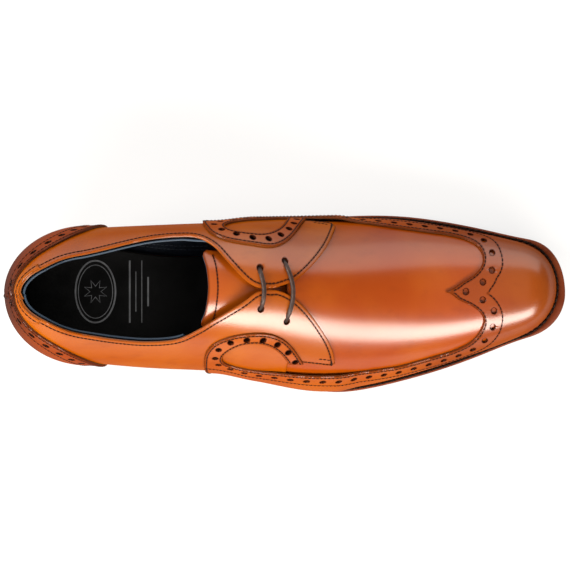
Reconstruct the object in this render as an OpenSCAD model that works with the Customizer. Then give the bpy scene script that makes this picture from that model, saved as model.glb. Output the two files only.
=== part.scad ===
// Long-wing derby shoe, right foot: stitched leather upper on a welted sole with a stacked heel.
// Millimetres. X runs from the heel to the toe, +Y is the inner (medial) side, Z is up from the floor.
// The shoe is drawn in its own frame, x = 0 at the heel's back, and place() moves it onto the origin.

/* [Size] */
// Overall length, from the heel's back to the tip of the welt
shoe_length = 305; // [301:1:309]
// How far the welt and sole reach past the toe of the last
toe_reach = 9; // [8.5:0.5:10]

/* [Sole] */
// Thickness of the leather outsole
outsole_t = 5; // [4:0.5:6]
// Thickness of the welt and the heel rand
welt_t = 3; // [2.5:0.5:3.5]
// Thickness of the insole
insole_t = 3; // [2.5:0.5:3.5]
// Thickness of the sock lining
sock_t = 1.2; // [0.8:0.1:1.5]
// Thickness of the heel's rubber top piece
top_piece_t = 6; // [5:0.5:7]
// Thickness of each full heel lift
lift_t = 6.2; // [5.5:0.1:6.4]
// Where the heel's front face stands, from the heel's back
heel_breast = 72; // [68:1:76]

/* [Upper] */
// Thickness of the calf leather
skin_t = 1.2; // [1:0.1:1.3]
// Thickness of the lining leather
lining_t = 1; // [0.8:0.1:1.1]
// Thickness of the heel and toe stiffeners
stiffener_t = 0.8; // [0.5:0.1:0.9]

/* [Lacing] */
// Diameter of the round waxed lace
lace_d = 2.4; // [2:0.1:2.5]
// Diameter of the lace holes through the facings
lace_hole_d = 4.4; // [4:0.1:4.6]
// Outer diameter of the hidden eyelet rings
eyelet_d = 7; // [6.5:0.1:7.2]

/* [Hidden] */
$fn = 48;

station_gap = shoe_length / 15.25;
base_t = outsole_t + welt_t;
tip_x = shoe_length - toe_reach;
heel_x = 45;
heel_back = 4.7;
heel_run = 60;
toe_round = 24;
crown_round = 18;
bulge = 0.2;
front_run = heel_run + tip_x - heel_x;
middle_y = 6;
fit = 0.3;

// Shapes along the length. Each list holds one value every station_gap from the heel's back.
sole_low = [27, 26.5, 25.5, 23.5, 20, 15, 9.5, 5, 1.8, 0.2, 0, 0.8, 2.8, 6.2, 10.6, 15.6, 21];
ridge = [104, 103, 99.5, 95.5, 92, 89.7, 87, 82, 73.5, 64.5, 56, 49.3, 45, 42.3, 40.8, 40, 40];
middle = [0, 0, 0, 0.2, 1, 1.8, 2.6, 2.6, 1.9, 1.3, 0.9, 0.7, 0.8, 1.5, 2.4, 3.2, 3.8];
// Half width at the widest height, the widest height above the last's edge, how far the side tucks
// in below it, and the roundness of the side above it: first the medial side, then the lateral one.
widths = [[31.5, 31.5, 31.5, 32.6, 33.4, 34.4, 35.2, 35.6, 36.2, 36.9, 37, 35.4, 32, 27.8, 23.6, 20.5, 18],
          [33.2, 33.2, 33.2, 35.6, 37.5, 38.4, 39.8, 43, 48, 48.8, 45.3, 40, 33.8, 26.4, 18.9, 12.4, 7]];
wide_at = [[17, 17, 17, 18, 20, 20, 18, 16, 13, 10, 8, 7, 6.5, 6, 6, 6, 6],
           [17, 17, 17, 14, 11, 9, 7, 6, 6, 6, 6, 6, 6, 6, 6, 6, 6]];
tucks = [[6, 6, 6, 9, 13, 14.5, 13.5, 11, 8, 5.5, 4, 3, 2.5, 2.5, 2.5, 2.5, 2.5],
         [6, 6, 6, 7.5, 8, 7, 5.5, 4.5, 4, 3.5, 3, 2.5, 2.5, 2.5, 2.5, 2.5, 2.5]];
rounds = [[2, 2, 2, 2.3, 2.7, 2.75, 2.6, 2.4, 2.3, 2.25, 2.25, 2.3, 2.4, 2.45, 2.5, 2.5, 2.5],
          [2, 2, 2, 1.9, 1.85, 1.88, 1.95, 2, 2.08, 2.12, 2.2, 2.3, 2.4, 2.45, 2.5, 2.5, 2.5]];
sole_widths = [[29, 29, 29, 29.3, 28, 28, 30.5, 35.5, 41, 43, 43.8, 43, 40, 36, 30.8, 27.5, 26],
               [31, 31, 31, 32.5, 34.5, 36.5, 40, 45.5, 53.5, 56.5, 53.2, 48.2, 42.2, 34.6, 25.6, 20.5, 16]];

// ---- Curves ----

function clamp(v, low, high) = max(low, min(high, v));
function mix(a, b, t) = a + (b - a) * t;
function smooth(t) = let (c = clamp(t, 0, 1)) c * c * (3 - 2 * c);
function steps(from, to, count) = [for (i = [0:count]) mix(from, to, i / count)];

// A smooth curve over a list of stations: a uniform cubic B-spline.
function along(list, x) =
    let (last = len(list) - 1,
         u = clamp(x / station_gap, 0, last - 0.0001),
         i = floor(u), t = u - i,
         a = list[max(i - 1, 0)], b = list[i], c = list[i + 1], d = list[min(i + 2, last)])
    (pow(1 - t, 3) * a + (3 * pow(t, 3) - 6 * t * t + 4) * b
     + (-3 * pow(t, 3) + 3 * t * t + 3 * t + 1) * c + pow(t, 3) * d) / 6;

// A smooth curve through pairs [place, value], flat where the pairs turn.
function pair_rise(pairs, i) = (pairs[i + 1][1] - pairs[i][1]) / (pairs[i + 1][0] - pairs[i][0]);
function pair_slope(pairs, i) =
    i == 0 ? pair_rise(pairs, 0)
    : i == len(pairs) - 1 ? pair_rise(pairs, i - 1)
    : let (a = pair_rise(pairs, i - 1), b = pair_rise(pairs, i)) a * b <= 0 ? 0 : 2 * a * b / (a + b);
function pair_index(pairs, x, i = 0) =
    i >= len(pairs) - 2 || x < pairs[i + 1][0] ? i : pair_index(pairs, x, i + 1);
function through(pairs, x) =
    let (i = pair_index(pairs, x), p = pairs[i], q = pairs[i + 1], h = q[0] - p[0],
         t = clamp((x - p[0]) / h, 0, 1), t2 = t * t, t3 = t2 * t)
    (2 * t3 - 3 * t2 + 1) * p[1] + (t3 - 2 * t2 + t) * h * pair_slope(pairs, i)
    + (3 * t2 - 2 * t3) * q[1] + (t3 - t2) * h * pair_slope(pairs, i + 1);

// Falls from 1 to 0 over the last stretch before end, like the round of a toe.
function closing(x, end, stretch, power) =
    let (s = clamp((x - end + stretch) / stretch, 0, 1)) sqrt(max(1 - pow(s, power), 0));

// ---- The last: the foot-shaped form that every piece of the upper lies on ----

function edge_z(x) = along(sole_low, x) + base_t;
function last_width(side, x) =
    (along(widths[side > 0 ? 0 : 1], x) - side * along(middle, x)) * closing(x, tip_x, toe_round, 3.6);
// How far the heel's back leans forward, at a height above its widest line.
function heel_lean(up, wide) =
    up < 0 ? 6 * pow(clamp(-up / wide, 0, 1), 2) : 11 * pow(min(up, 80) / 44, 1.7);

// A point on the last. run is the distance along one side from the heel's back, less than zero on
// the lateral side. climb is 0 at the lower edge, bulge at the widest line and 1 at the ridge.
function last_point(run, climb) =
    let (side = run < 0 ? -1 : 1, row = side > 0 ? 0 : 1, s = abs(run),
         turn = min(s / heel_run, 1) * 90,
         x0 = s < heel_run ? heel_back + (heel_x - heel_back) * (1 - cos(turn)) : heel_x + s - heel_run,
         x = max(x0, heel_x),
         w = last_width(side, x), wide = along(wide_at[row], x),
         power = 2 / along(rounds[row], x),
         z0 = edge_z(x0),
         z1 = z0 + wide,
         z2 = z1 + (along(ridge, x0) - z1) * closing(x0, tip_x, crown_round, 3),
         fall = 1 - min(climb / bulge, 1),
         rise = max(climb - bulge, 0) / (1 - bulge) * 90,
         tuck = along(tucks[row], x) * fall * fall,
         slope = s < heel_run ? 0
             : (last_width(side, min(x + 0.01, tip_x)) - last_width(side, min(x, tip_x) - 0.01)) / 0.02,
         long = sqrt(1 + slope * slope),
         y = (w * pow(cos(rise), power) - tuck / long) * sin(turn),
         z = climb < bulge ? z1 - wide * fall : z1 + (z2 - z1) * pow(sin(rise), power))
    [x0 + heel_lean(z - z1, wide) * cos(turn) + tuck * slope / long, along(middle, x0) + side * y, z];

// The last's height over a plan point in front of the heel.
function crown_z(p) =
    let (side = p.y < along(middle, p.x) ? -1 : 1, row = side > 0 ? 0 : 1,
         n = along(rounds[row], p.x),
         z1 = edge_z(p.x) + along(wide_at[row], p.x),
         z2 = z1 + (along(ridge, p.x) - z1) * closing(p.x, tip_x, crown_round, 3),
         out = clamp(abs(p.y - along(middle, p.x)) / max(last_width(side, p.x), 0.001), 0, 1))
    z1 + (z2 - z1) * pow(1 - pow(out, n), 1 / n);

// ---- Sheets of leather: a grid of points on the last, given a thickness ----

// Columns go medially round the shoe, seen from outside from right to left, and rows go up.
function column(run, low, high, rows) = [for (t = steps(0, 1, rows)) last_point(run, mix(low, high, t))];
// A column from the toe's lower edge up the wall and over the crown to a plan point.
function toe_column(run, target, rows) =
    let (start = last_point(run, bulge), from = [start.x, start.y])
    concat([for (climb = [0.02, 0.08, 0.14]) last_point(run, climb)],
           [for (t = steps(0, 1, rows)) let (p = mix(from, target, 1 - cos(90 * t))) [p.x, p.y, crown_z(p)]]);
// A column across the shoe from the lateral edge over the ridge to the medial edge.
function cross_column(s, low, rows) =
    concat([for (t = steps(0, 1, rows)) last_point(-s, mix(low, 1, t))],
           [for (t = steps(0, 1, rows)) if (t > 0) last_point(s, mix(1, low, t))]);

function unit(v) = v / norm(v);
function grid_normal(grid, i, j) =
    let (n = len(grid) - 1, m = len(grid[0]) - 1)
    unit(cross(grid[i][min(j + 1, m)] - grid[i][max(j - 1, 0)],
               grid[min(i + 1, n)][j] - grid[max(i - 1, 0)][j]));
// The grid's points moved out by off(x), and kept above the welt.
function raised(grid, off) =
    [for (i = [0:len(grid) - 1]) for (j = [0:len(grid[0]) - 1])
        let (p = grid[i][j], q = p + grid_normal(grid, i, j) * off(p.x))
        [q.x, q.y, max(q.z, edge_z(q.x) + 0.2)]];
function two_faces(a, b, c, d) = [[a, b, c], [a, c, d]];

module sheet(grid, inner, outer) {
    n = len(grid);
    m = len(grid[0]);
    inside = n * m;
    quads = [
        for (i = [0:n - 2]) for (j = [0:m - 2]) let (a = i * m + j) each concat(
            two_faces(a, a + m, a + m + 1, a + 1),
            two_faces(inside + a, inside + a + 1, inside + a + m + 1, inside + a + m)),
        for (i = [0:n - 2]) let (low = i * m, high = low + m - 1) each concat(
            two_faces(low, inside + low, inside + low + m, low + m),
            two_faces(high, high + m, inside + high + m, inside + high)),
        for (j = [0:m - 2]) let (first = j, end = (n - 1) * m + j) each concat(
            two_faces(first, first + 1, inside + first + 1, inside + first),
            two_faces(end, inside + end, inside + end + 1, end + 1))];
    polyhedron(concat(raised(grid, outer), raised(grid, inner)), quads, convexity = 6);
}

// ---- The sheets' places above the last, each a distance outside it ----

lining_out = lining_t;
stiffener_in = lining_t + 0.2;
stiffener_out = stiffener_in + stiffener_t;
quarter_back_in = 2.2;
overlap_t = skin_t + fit;
vamp_in = 2.3;
lap_in = vamp_in + overlap_t;
quarter_in = function (x) mix(quarter_back_in, lap_in, smooth((x - 112) / 22));
quarter_out = function (x) quarter_in(x) + skin_t;
wing_in = function (x) quarter_in(x) + (overlap_t + fit) * (1 - smooth((x - 178) / 14));
wing_out = function (x) wing_in(x) + skin_t;
counter_in = function (x) quarter_back_in + overlap_t;
counter_out = function (x) counter_in(x) + skin_t;

// ---- Edges of the pieces, as pairs of run and climb ----

topline = [
    [[0, 0.765], [20, 0.765], [35, 0.757], [50, 0.72], [61, 0.697], [80, 0.64], [94, 0.592], [108, 0.572],
     [118, 0.588], [127, 0.69], [136.5, 0.84], [144, 0.95], [150, 0.985], [158, 0.985], [166.5, 0.965],
     [171, 0.938], [180, 0.83], [187, 0.67], [191, 0.53]],
    [[0, 0.765], [20, 0.765], [35, 0.758], [50, 0.722], [65, 0.68], [79, 0.65], [93, 0.638], [108, 0.66],
     [122, 0.726], [132, 0.817], [141, 0.914], [148, 0.975], [155, 0.985], [163, 0.973], [171, 0.938],
     [179, 0.868], [185, 0.767], [190, 0.65], [192, 0.56]]];
counter_edge = [[0, 0.62], [20, 0.63], [36, 0.6], [46, 0.56], [56, 0.47], [64, 0.33], [70, 0.12]];
tab_edge = [[0, 0.66], [22, 0.67], [31, 0.715]];

function topline_at(run) = through(topline[run < 0 ? 1 : 0], abs(run)) - 0.002;

// ---- Sole outlines and flat layers ----

function sole_half(side, x) =
    along(sole_widths[side > 0 ? 0 : 1], x) * closing(x, shoe_length, 22, 2.8);
function sole_point(side, s) =
    s < 1 ? [heel_x - (heel_x - heel_back - 1) * cos(90 * s), side * sole_half(side, heel_x) * sin(90 * s)]
    : let (x = s < 2 ? mix(heel_x, 270, s - 1) : mix(270, shoe_length, sin(90 * (s - 2))))
      [x, side * sole_half(side, x)];
sole_steps = concat(steps(0.1, 0.9, 8), steps(1, 1.95, 19), steps(2, 2.95, 12));
sole_line = concat(
    [sole_point(1, 0)], [for (s = sole_steps) sole_point(-1, s)], [[shoe_length, 0.6]],
    [for (i = [len(sole_steps) - 1:-1:0]) sole_point(1, sole_steps[i])]);
// The last's lower edge in plan.
edge_runs = concat(steps(6, 54, 8), steps(60, 285, 25), [for (s = steps(0.15, 0.95, 6)) mix(285, front_run, sin(90 * s))]);
edge_line = concat(
    [last_point(0.01, 0)], [for (s = edge_runs) last_point(-s, 0)], [[tip_x - 2.5, 3]],
    [for (i = [len(edge_runs) - 1:-1:0]) last_point(edge_runs[i], 0)]);
// A closed line moved inwards.
function inset(line, by) =
    let (n = len(line))
    [for (i = [0:n - 1])
        let (a = line[(i + n - 1) % n], b = line[(i + 1) % n], along_line = unit([b.x - a.x, b.y - a.y]))
        [line[i].x - along_line.y * by, line[i].y + along_line.x * by]];

// A layer of the sole between two heights above the sole's underside, within a plan outline.
module layer(line, low, high) {
    xs = steps(-4, shoe_length + 4, 44);
    intersection() {
        translate([0, 0, -5]) linear_extrude(80) polygon(line);
        rotate([90, 0, 0]) linear_extrude(160, center = true)
            polygon(concat([for (x = xs) [x, along(sole_low, x) + low]],
                           [for (i = [len(xs) - 1:-1:0]) [xs[i], along(sole_low, xs[i]) + high]]));
    }
}
module in_front_of(x) { translate([x, -100, -50]) cube([400, 200, 200]); }
module behind(x) { translate([x - 400, -100, -50]) cube([400, 200, 200]); }

// ---- Nails ----

heel_nail_spots = [[18, -14], [18, 14], [36, -19], [36, 18], [54, 0]];
top_nail_spots = [[11, -7], [11, 7], [22, -17], [22, 16], [38, -22], [38, 20], [56, -22], [56, 20]];
heel_nail_low = top_piece_t + lift_t + 1;
module at_spots(spots) { for (p = spots) translate([p.x, p.y, 0]) children(); }
module heel_nail_holes() { at_spots(heel_nail_spots) translate([0, 0, heel_nail_low - 0.3]) cylinder(d = 2.4, h = 60); }
module top_nail_holes() {
    at_spots(top_nail_spots) translate([0, 0, -1]) cylinder(d = 2, h = top_piece_t + 6);
    at_spots(top_nail_spots) translate([0, 0, -1]) cylinder(d = 4, h = 2.2);
}

module place() { translate([-shoe_length / 2, middle_y, 0]) children(); }

// ---- Sole ----

module outsole() {
    color("#5a3016") difference() {
        layer(sole_line, 0, outsole_t);
        heel_nail_holes();
    }
}
module seat_ring(inner) {
    difference() {
        layer(sole_line, outsole_t, base_t);
        layer(inset(edge_line, inner), outsole_t - 1, base_t + 1);
    }
}
module welt() {
    color("#8a4a22") intersection() {
        seat_ring(1.5);
        in_front_of(heel_breast + 4);
    }
}
module heel_rand() {
    color("#3a2013") difference() {
        intersection() {
            seat_ring(1.5);
            behind(heel_breast + 3.8);
        }
        heel_nail_holes();
    }
}
module insole_rib() {
    color("#d8cfb8") intersection() {
        difference() {
            layer(inset(edge_line, 2), outsole_t + 0.2, base_t);
            layer(inset(edge_line, 4), outsole_t - 1, base_t + 1);
        }
        in_front_of(heel_breast + 4);
    }
}
shank_line = [[60, -5], [64, -7], [140, -7], [150, -5], [150, 6], [140, 8], [64, 7], [60, 5]];
module cork_filler() {
    color("#a5793f") difference() {
        layer(inset(edge_line, 4.4), outsole_t, base_t);
        layer(inset(shank_line, -fit), base_t - 1.6, base_t + 1);
        heel_nail_holes();
    }
}
module shank() { color("#8c9196") layer(shank_line, base_t - 1.4, base_t - 0.1); }
module insole() {
    color("#c9a070") difference() {
        layer(inset(edge_line, 0.8), base_t + 0.1, base_t + insole_t);
        heel_nail_holes();
    }
}
module sock_lining() {
    color("#15171f") layer(inset(edge_line, 1.2), base_t + insole_t + 0.2, base_t + insole_t + 0.2 + sock_t);
}

breast_radius = 52;
breast_hollow = 4;
// A flat slice of the heel, whose front face is a shallow hollow.
module heel_slice(low, high) {
    intersection() {
        translate([0, 0, low]) linear_extrude(high - low) polygon(inset(sole_line, fit));
        translate([0, 0, -1]) linear_extrude(60) difference() {
            translate([-10, -60]) square([heel_breast + 10, 120]);
            translate([heel_breast + breast_radius - breast_hollow, 0]) circle(r = breast_radius, $fn = 96);
        }
    }
}
lift_1_z = top_piece_t;
lift_2_z = lift_1_z + lift_t;
lift_3_z = lift_2_z + lift_t;
module top_piece() {
    color("#1d1a18") difference() {
        heel_slice(0, top_piece_t);
        top_nail_holes();
    }
}
module heel_lift_1() {
    color("#4a2814") difference() {
        heel_slice(lift_1_z, lift_2_z);
        top_nail_holes();
    }
}
module heel_lift_2() {
    color("#4a2814") difference() {
        heel_slice(lift_2_z, lift_3_z);
        heel_nail_holes();
    }
}
module heel_lift_3() {
    color("#4a2814") difference() {
        heel_slice(lift_3_z, 40);
        layer([[-20, -80], [200, -80], [200, 80], [-20, 80]], 0, 60);
        heel_nail_holes();
    }
}
module top_piece_nails() {
    color("#b9a15c") at_spots(top_nail_spots) {
        translate([0, 0, 0.3]) cylinder(d = 3.6, h = 0.8);
        translate([0, 0, 0.3]) cylinder(d = 1.7, h = top_piece_t + 4);
    }
}
module heel_nails() {
    color("#8c9196") at_spots(heel_nail_spots) translate([0, 0, heel_nail_low]) cylinder(d = 2, h = 34.5 - heel_nail_low);
}

// ---- Upper ----

// The winged toe cap's front edge, as plan points from the centre spike to each side.
wing_front = [
    [[244.4, 5.9], [252.3, 9.7], [256.5, 13.9], [257, 18.9], [254, 23.4], [248, 26.2]],
    [[242.2, -3.3], [251.1, -6.7], [256.1, -10.5], [257.3, -14.2], [255.2, -18.9], [249.9, -24.1]]];
spike = [235, 0.8];
// The band's lower and upper edges where it turns up and forward over the quarter, as [run, climb].
hook_low = [[150, 0.02], [141, 0.02], [132, 0.03], [125, 0.1], [121, 0.22], [119.5, 0.36], [121, 0.5],
            [126, 0.61], [134, 0.69], [143, 0.735], [152, 0.75], [160, 0.74], [167, 0.7], [171.5, 0.65],
            [174.4, 0.59]];
hook_high = [[157, 0.48], [147, 0.475], [138, 0.48], [133, 0.495], [130.5, 0.515], [130.2, 0.54],
             [131.5, 0.57], [134.5, 0.605], [138.5, 0.635], [143.5, 0.665], [149.5, 0.68], [155, 0.675],
             [160, 0.655], [164, 0.615], [167, 0.57]];
wing_rows = 9;
function hook_columns(side) = [for (i = [0:len(hook_low) - 1])
    [for (t = steps(0, 1, wing_rows)) let (p = mix(hook_low[i], hook_high[i], t)) last_point(side * p[0], p[1])]];
function band_columns(side) = [for (s = steps(158, 242, 13))
    column(side * s, 0.02, mix(0.48, 0.49, (s - 158) / 84), wing_rows)];
function cap_columns(side) =
    let (edge = wing_front[side > 0 ? 0 : 1], n = len(edge) - 1)
    concat([for (i = [n:-1:0]) toe_column(side * mix(254, 300, smooth((n - i) / (n + 1))), edge[i], wing_rows - 3)],
           [toe_column(side * (front_run - 3), mix(edge[0], spike, 0.6), wing_rows - 3)]);
function reversed(list) = [for (i = [len(list) - 1:-1:0]) list[i]];
function wing_half(side) = concat(reversed(hook_columns(side)), band_columns(side), cap_columns(side));
module wing_cap() {
    grid = concat(wing_half(1), [toe_column(front_run - 0.001, spike, wing_rows - 3)], reversed(wing_half(-1)));
    color("#c8621c") sheet(grid, wing_in, wing_out);
}

module vamp() {
    grid = [for (s = steps(283, 171, 20)) cross_column(s, 0.02, 9)];
    color("#d2691e") sheet(grid, function (x) vamp_in, function (x) vamp_in + skin_t);
}
module vamp_lining() {
    runs = concat([for (t = steps(0.98, 0, 6)) mix(280, front_run, sin(90 * t))], steps(272, 171, 14));
    grid = [for (s = runs) cross_column(s, 0.02, 8)];
    color("#1a1d27") sheet(grid, function (x) 0, function (x) lining_out);
}
module toe_puff() {
    runs = concat([for (t = steps(0.98, 0.2, 5)) mix(280, front_run, sin(90 * t))], steps(278, 264, 2));
    grid = [for (s = runs) cross_column(s, 0.05, 8)];
    color("#b8a888") sheet(grid, function (x) stiffener_in, function (x) stiffener_out);
}

// The quarter's lower edge leaves the welt where the wing covers it and rises to the bar tack.
function quarter_low(s) = mix(0.02, 0.5, smooth((s - 158) / 20));
quarter_runs = concat(steps(0.15, 104, 18), steps(110, 190.5, 17));
lace_holes = [[[150.9, 0.885], [163.6, 0.83]], [[151.5, 0.895], [164.8, 0.84]]];
function last_normal(run, climb) =
    unit(cross(last_point(run, climb + 0.01) - last_point(run, climb - 0.01),
               last_point(run + 0.3, climb) - last_point(run - 0.3, climb)));
// Stands its children on the last, their Z axis straight out of it.
module on_last(run, climb, out) {
    n = last_normal(run, climb);
    translate(last_point(run, climb) + n * out) rotate([0, acos(n.z), atan2(n.y, n.x)]) children();
}
module at_lace_holes(side, out) {
    for (hole = lace_holes[side > 0 ? 0 : 1]) on_last(side * hole[0], hole[1], out) children();
}
module quarter(side) {
    ordered = side > 0 ? quarter_runs : reversed(quarter_runs);
    grid = [for (s = ordered) column(side * s, quarter_low(s), topline_at(side * s), 11)];
    difference() {
        sheet(grid, quarter_in, quarter_out);
        at_lace_holes(side, 1) cylinder(d = lace_hole_d, h = 8);
        lace_room();
    }
}
module quarter_lateral() { color("#d9701f") quarter(-1); }
module quarter_medial() { color("#c96a3a") quarter(1); }

module counter() {
    grid = [for (s = steps(-69, 69, 30)) column(s, 0.02, through(counter_edge, abs(s)), 8)];
    color("#7a3a1a") sheet(grid, counter_in, counter_out);
}
module heel_tab() {
    grid = [for (s = steps(-31, 31, 16)) column(s, through(tab_edge, abs(s)), topline_at(s), 3)];
    color("#8a4520") sheet(grid, counter_in, counter_out);
}
module counter_stiffener() {
    top = [[0, 0.6], [30, 0.58], [50, 0.45], [62, 0.2]];
    grid = [for (s = steps(-61, 61, 24)) column(s, 0.03, through(top, abs(s)), 7)];
    color("#b8a888") sheet(grid, function (x) stiffener_in, function (x) stiffener_out);
}
// The lining stops below the lace, so that the lace's tails can be tucked in beside the tongue.
lining_edge = [[112, 0.6], [122, 0.62], [150, 0.62], [170, 0.6]];
module quarter_lining(side) {
    ordered = side > 0 ? concat(steps(0.15, 110, 18), steps(116, 170.5, 9))
        : concat(steps(170.5, 116, 9), steps(110, 0.15, 18));
    grid = [for (s = ordered) column(side * s, 0.02,
        min(topline_at(side * s), s < 112 ? 1 : through(lining_edge, s)), 9)];
    color("#1a1d27") sheet(grid, function (x) 0, function (x) lining_out);
}
module quarter_lining_lateral() { quarter_lining(-1); }
module quarter_lining_medial() { quarter_lining(1); }

stay_in = 2.2;
stay_out = 3.2;
module facing_stay(side) {
    ordered = side > 0 ? steps(143.5, 169.5, 8) : steps(169.5, 143.5, 8);
    grid = [for (s = ordered) column(side * s, 0.7, topline_at(side * s) - 0.02, 8)];
    color("#caa27a") difference() {
        sheet(grid, function (x) stay_in, function (x) stay_out);
        at_lace_holes(side, 0) cylinder(d = eyelet_d + 0.4, h = 6);
    }
}
module facing_stay_lateral() { facing_stay(-1); }
module facing_stay_medial() { facing_stay(1); }
module blind_eyelets() {
    color("#3c3c40") difference() {
        for (side = [-1, 1]) at_lace_holes(side, stay_in + 0.1) difference() {
            cylinder(d = eyelet_d, h = 0.8);
            translate([0, 0, -1]) cylinder(d = lace_hole_d + 0.2, h = 3);
        }
        lace_room();
    }
}
module bar_tacks() {
    color("#3a1c10") for (spot = [[189, 0.545], [-189, 0.6]])
        on_last(spot[0], spot[1], lap_in + skin_t + 0.75) rotate([90, 0, 0]) cylinder(d = 0.9, h = 5, center = true);
}

// ---- Tongue: it hangs from its front end, under the vamp's rear edge ----

tongue_side = [[118, 0.7], [132, 0.71], [150, 0.76], [169, 0.84]];
tongue_top = -2;
module tongue_sheet(inner, outer) {
    grid = [for (s = steps(169, 119, 10)) cross_column(s, through(tongue_side, s), 7)];
    sheet(grid, function (x) inner, function (x) outer);
}
module tongue() { color("#c8641e") tongue_sheet(tongue_top - skin_t, tongue_top); }
module tongue_lining() { color("#1a1d27") tongue_sheet(tongue_top - skin_t - 1.2, tongue_top - skin_t - 0.2); }

// ---- Lace: one piece, from inside the shoe through four holes and back inside ----
// The route is in the finished shoe's frame, from one aglet to the other.

lace_route = [
    [80, -15, 16.5], [66, -18, 15.5], [50, -21, 14.8], [34, -23, 14.8], [18, -25, 15.8], [2, -26, 17.8],
    [-13, -26.5, 21.5], [-25, -26, 29], [-30.5, -25, 39], [-31, -23, 50], [-29, -20, 61],
    [-25, -16.5, 70], [-21, -12, 76], [-18, -6, 80], [-15, -1.5, 84.3], [-13.5, 2.5, 87.8],
    [-13, 9, 88.6], [-14.5, 16, 88], [-15.7, 19.2, 84.5], [-15.5, 22.5, 80.3], [-13, 25.5, 77.8],
    [-9, 26.5, 76], [-5, 25.5, 75.2], [-2.8, 22.8, 78.4], [-0.5, 19.5, 82.2], [2.5, 14.5, 82.8], [3.7, 8.5, 82.6],
    [3, 2.5, 82.2], [0.5, -3.7, 81.4], [-1.8, -8, 77.5], [-4, -12, 72.5], [-6.5, -16.5, 67],
    [-8, -19.5, 58], [-8, -21, 47], [-5, -21.5, 36], [2, -20.5, 26], [12, -18, 19.5], [24, -14.5, 16],
    [38, -10.5, 14.8], [54, -6.5, 14.8]];
lace_sides = 8;
// A smooth curve through the route: two rings for each stretch between two points.
function route_point(list, i, t) =
    let (n = len(list) - 1, a = list[max(i - 1, 0)], b = list[i], c = list[min(i + 1, n)], d = list[min(i + 2, n)])
    0.5 * (2 * b + (c - a) * t + (2 * a - 5 * b + 4 * c - d) * t * t + (3 * b - a - 3 * c + d) * t * t * t);
lace_path = [for (i = [0:len(lace_route) - 2]) each [route_point(lace_route, i, 0), route_point(lace_route, i, 0.5)],
             lace_route[len(lace_route) - 1]];
function path_direction(path, i) = unit(path[min(i + 1, len(path) - 1)] - path[max(i - 1, 0)]);
function square_to(v, direction) = unit(v - direction * (v * direction));
// One sideways vector for each ring, each turned as little as possible from the one before it.
function path_sideways(path) =
    [for (i = 0, v = square_to([0, 0, 1], path_direction(path, 0)); i < len(path); i = i + 1,
          v = i < len(path) ? square_to(v, path_direction(path, i)) : v) v];
module tube(path, d, sides) {
    sideways = path_sideways(path);
    ring = [for (k = [0:sides - 1]) k];
    points = [for (i = [0:len(path) - 1]) let (u = sideways[i], w = cross(path_direction(path, i), u))
        each [for (k = ring) path[i] + (u * cos(360 * k / sides) + w * sin(360 * k / sides)) * d / 2]];
    last = (len(path) - 1) * sides;
    polyhedron(points, concat(
        [ring, [for (k = ring) last + sides - 1 - k]],
        [for (i = [0:len(path) - 2]) for (k = ring) let (a = i * sides + k, b = i * sides + (k + 1) % sides)
            each two_faces(a, a + sides, b + sides, b)]), convexity = 10);
}
module lace() { color("#3a2418") tube(lace_path, lace_d, lace_sides); }
// The room that the tight lace presses for itself in the leather and the eyelets.
module lace_room() { translate([shoe_length / 2, -middle_y, 0]) tube(lace_path, lace_d + 2 * fit, lace_sides); }
module aglet(end, direction) {
    turned = unit(direction);
    translate(end) rotate([0, acos(turned.z), atan2(turned.y, turned.x)]) {
        cylinder(d = lace_d, h = 13);
        translate([0, 0, 13]) sphere(d = lace_d);
    }
}
module aglets() {
    color("#2a1a12") {
        aglet(lace_path[0], lace_path[0] - lace_path[1]);
        aglet(lace_path[len(lace_path) - 1], lace_path[len(lace_path) - 1] - lace_path[len(lace_path) - 2]);
    }
}

place() outsole();
place() welt();
place() heel_rand();
place() heel_lift_1();
place() heel_lift_2();
place() heel_lift_3();
place() top_piece();
place() top_piece_nails();
place() heel_nails();
place() insole_rib();
place() cork_filler();
place() shank();
place() insole();
place() sock_lining();
place() vamp();
place() wing_cap();
place() quarter_lateral();
place() quarter_medial();
place() counter();
place() heel_tab();
place() counter_stiffener();
place() toe_puff();
place() vamp_lining();
place() quarter_lining_lateral();
place() quarter_lining_medial();
place() facing_stay_lateral();
place() facing_stay_medial();
place() blind_eyelets();
place() bar_tacks();
place() tongue();
place() tongue_lining();
lace();
aglets();
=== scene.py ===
"""The looks of the long-wing derby shoe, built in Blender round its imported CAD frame.

Shapes are worked out in millimetres in the shoe's own coordinates: x from the heel's back towards the
toe, +y towards the medial side, z up from the floor. to_frame() turns them into the frame's metres.
"""
import math

import bpy
import numpy as np
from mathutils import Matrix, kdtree
from mathutils.geometry import delaunay_2d_cdt


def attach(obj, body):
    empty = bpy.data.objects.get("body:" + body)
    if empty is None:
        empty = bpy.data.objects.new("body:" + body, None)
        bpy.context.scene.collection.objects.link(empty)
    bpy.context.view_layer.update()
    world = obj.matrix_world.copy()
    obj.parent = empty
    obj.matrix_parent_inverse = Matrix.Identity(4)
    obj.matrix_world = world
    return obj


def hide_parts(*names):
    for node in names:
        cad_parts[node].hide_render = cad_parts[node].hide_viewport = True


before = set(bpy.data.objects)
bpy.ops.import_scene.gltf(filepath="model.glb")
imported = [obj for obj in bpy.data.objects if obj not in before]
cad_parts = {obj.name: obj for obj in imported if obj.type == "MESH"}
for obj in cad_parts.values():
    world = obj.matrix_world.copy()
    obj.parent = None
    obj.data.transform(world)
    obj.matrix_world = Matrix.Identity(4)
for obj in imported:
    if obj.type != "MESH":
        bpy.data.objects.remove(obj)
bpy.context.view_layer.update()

# ---- The shoe's shape, with the same values as the CAD model ----

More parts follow.
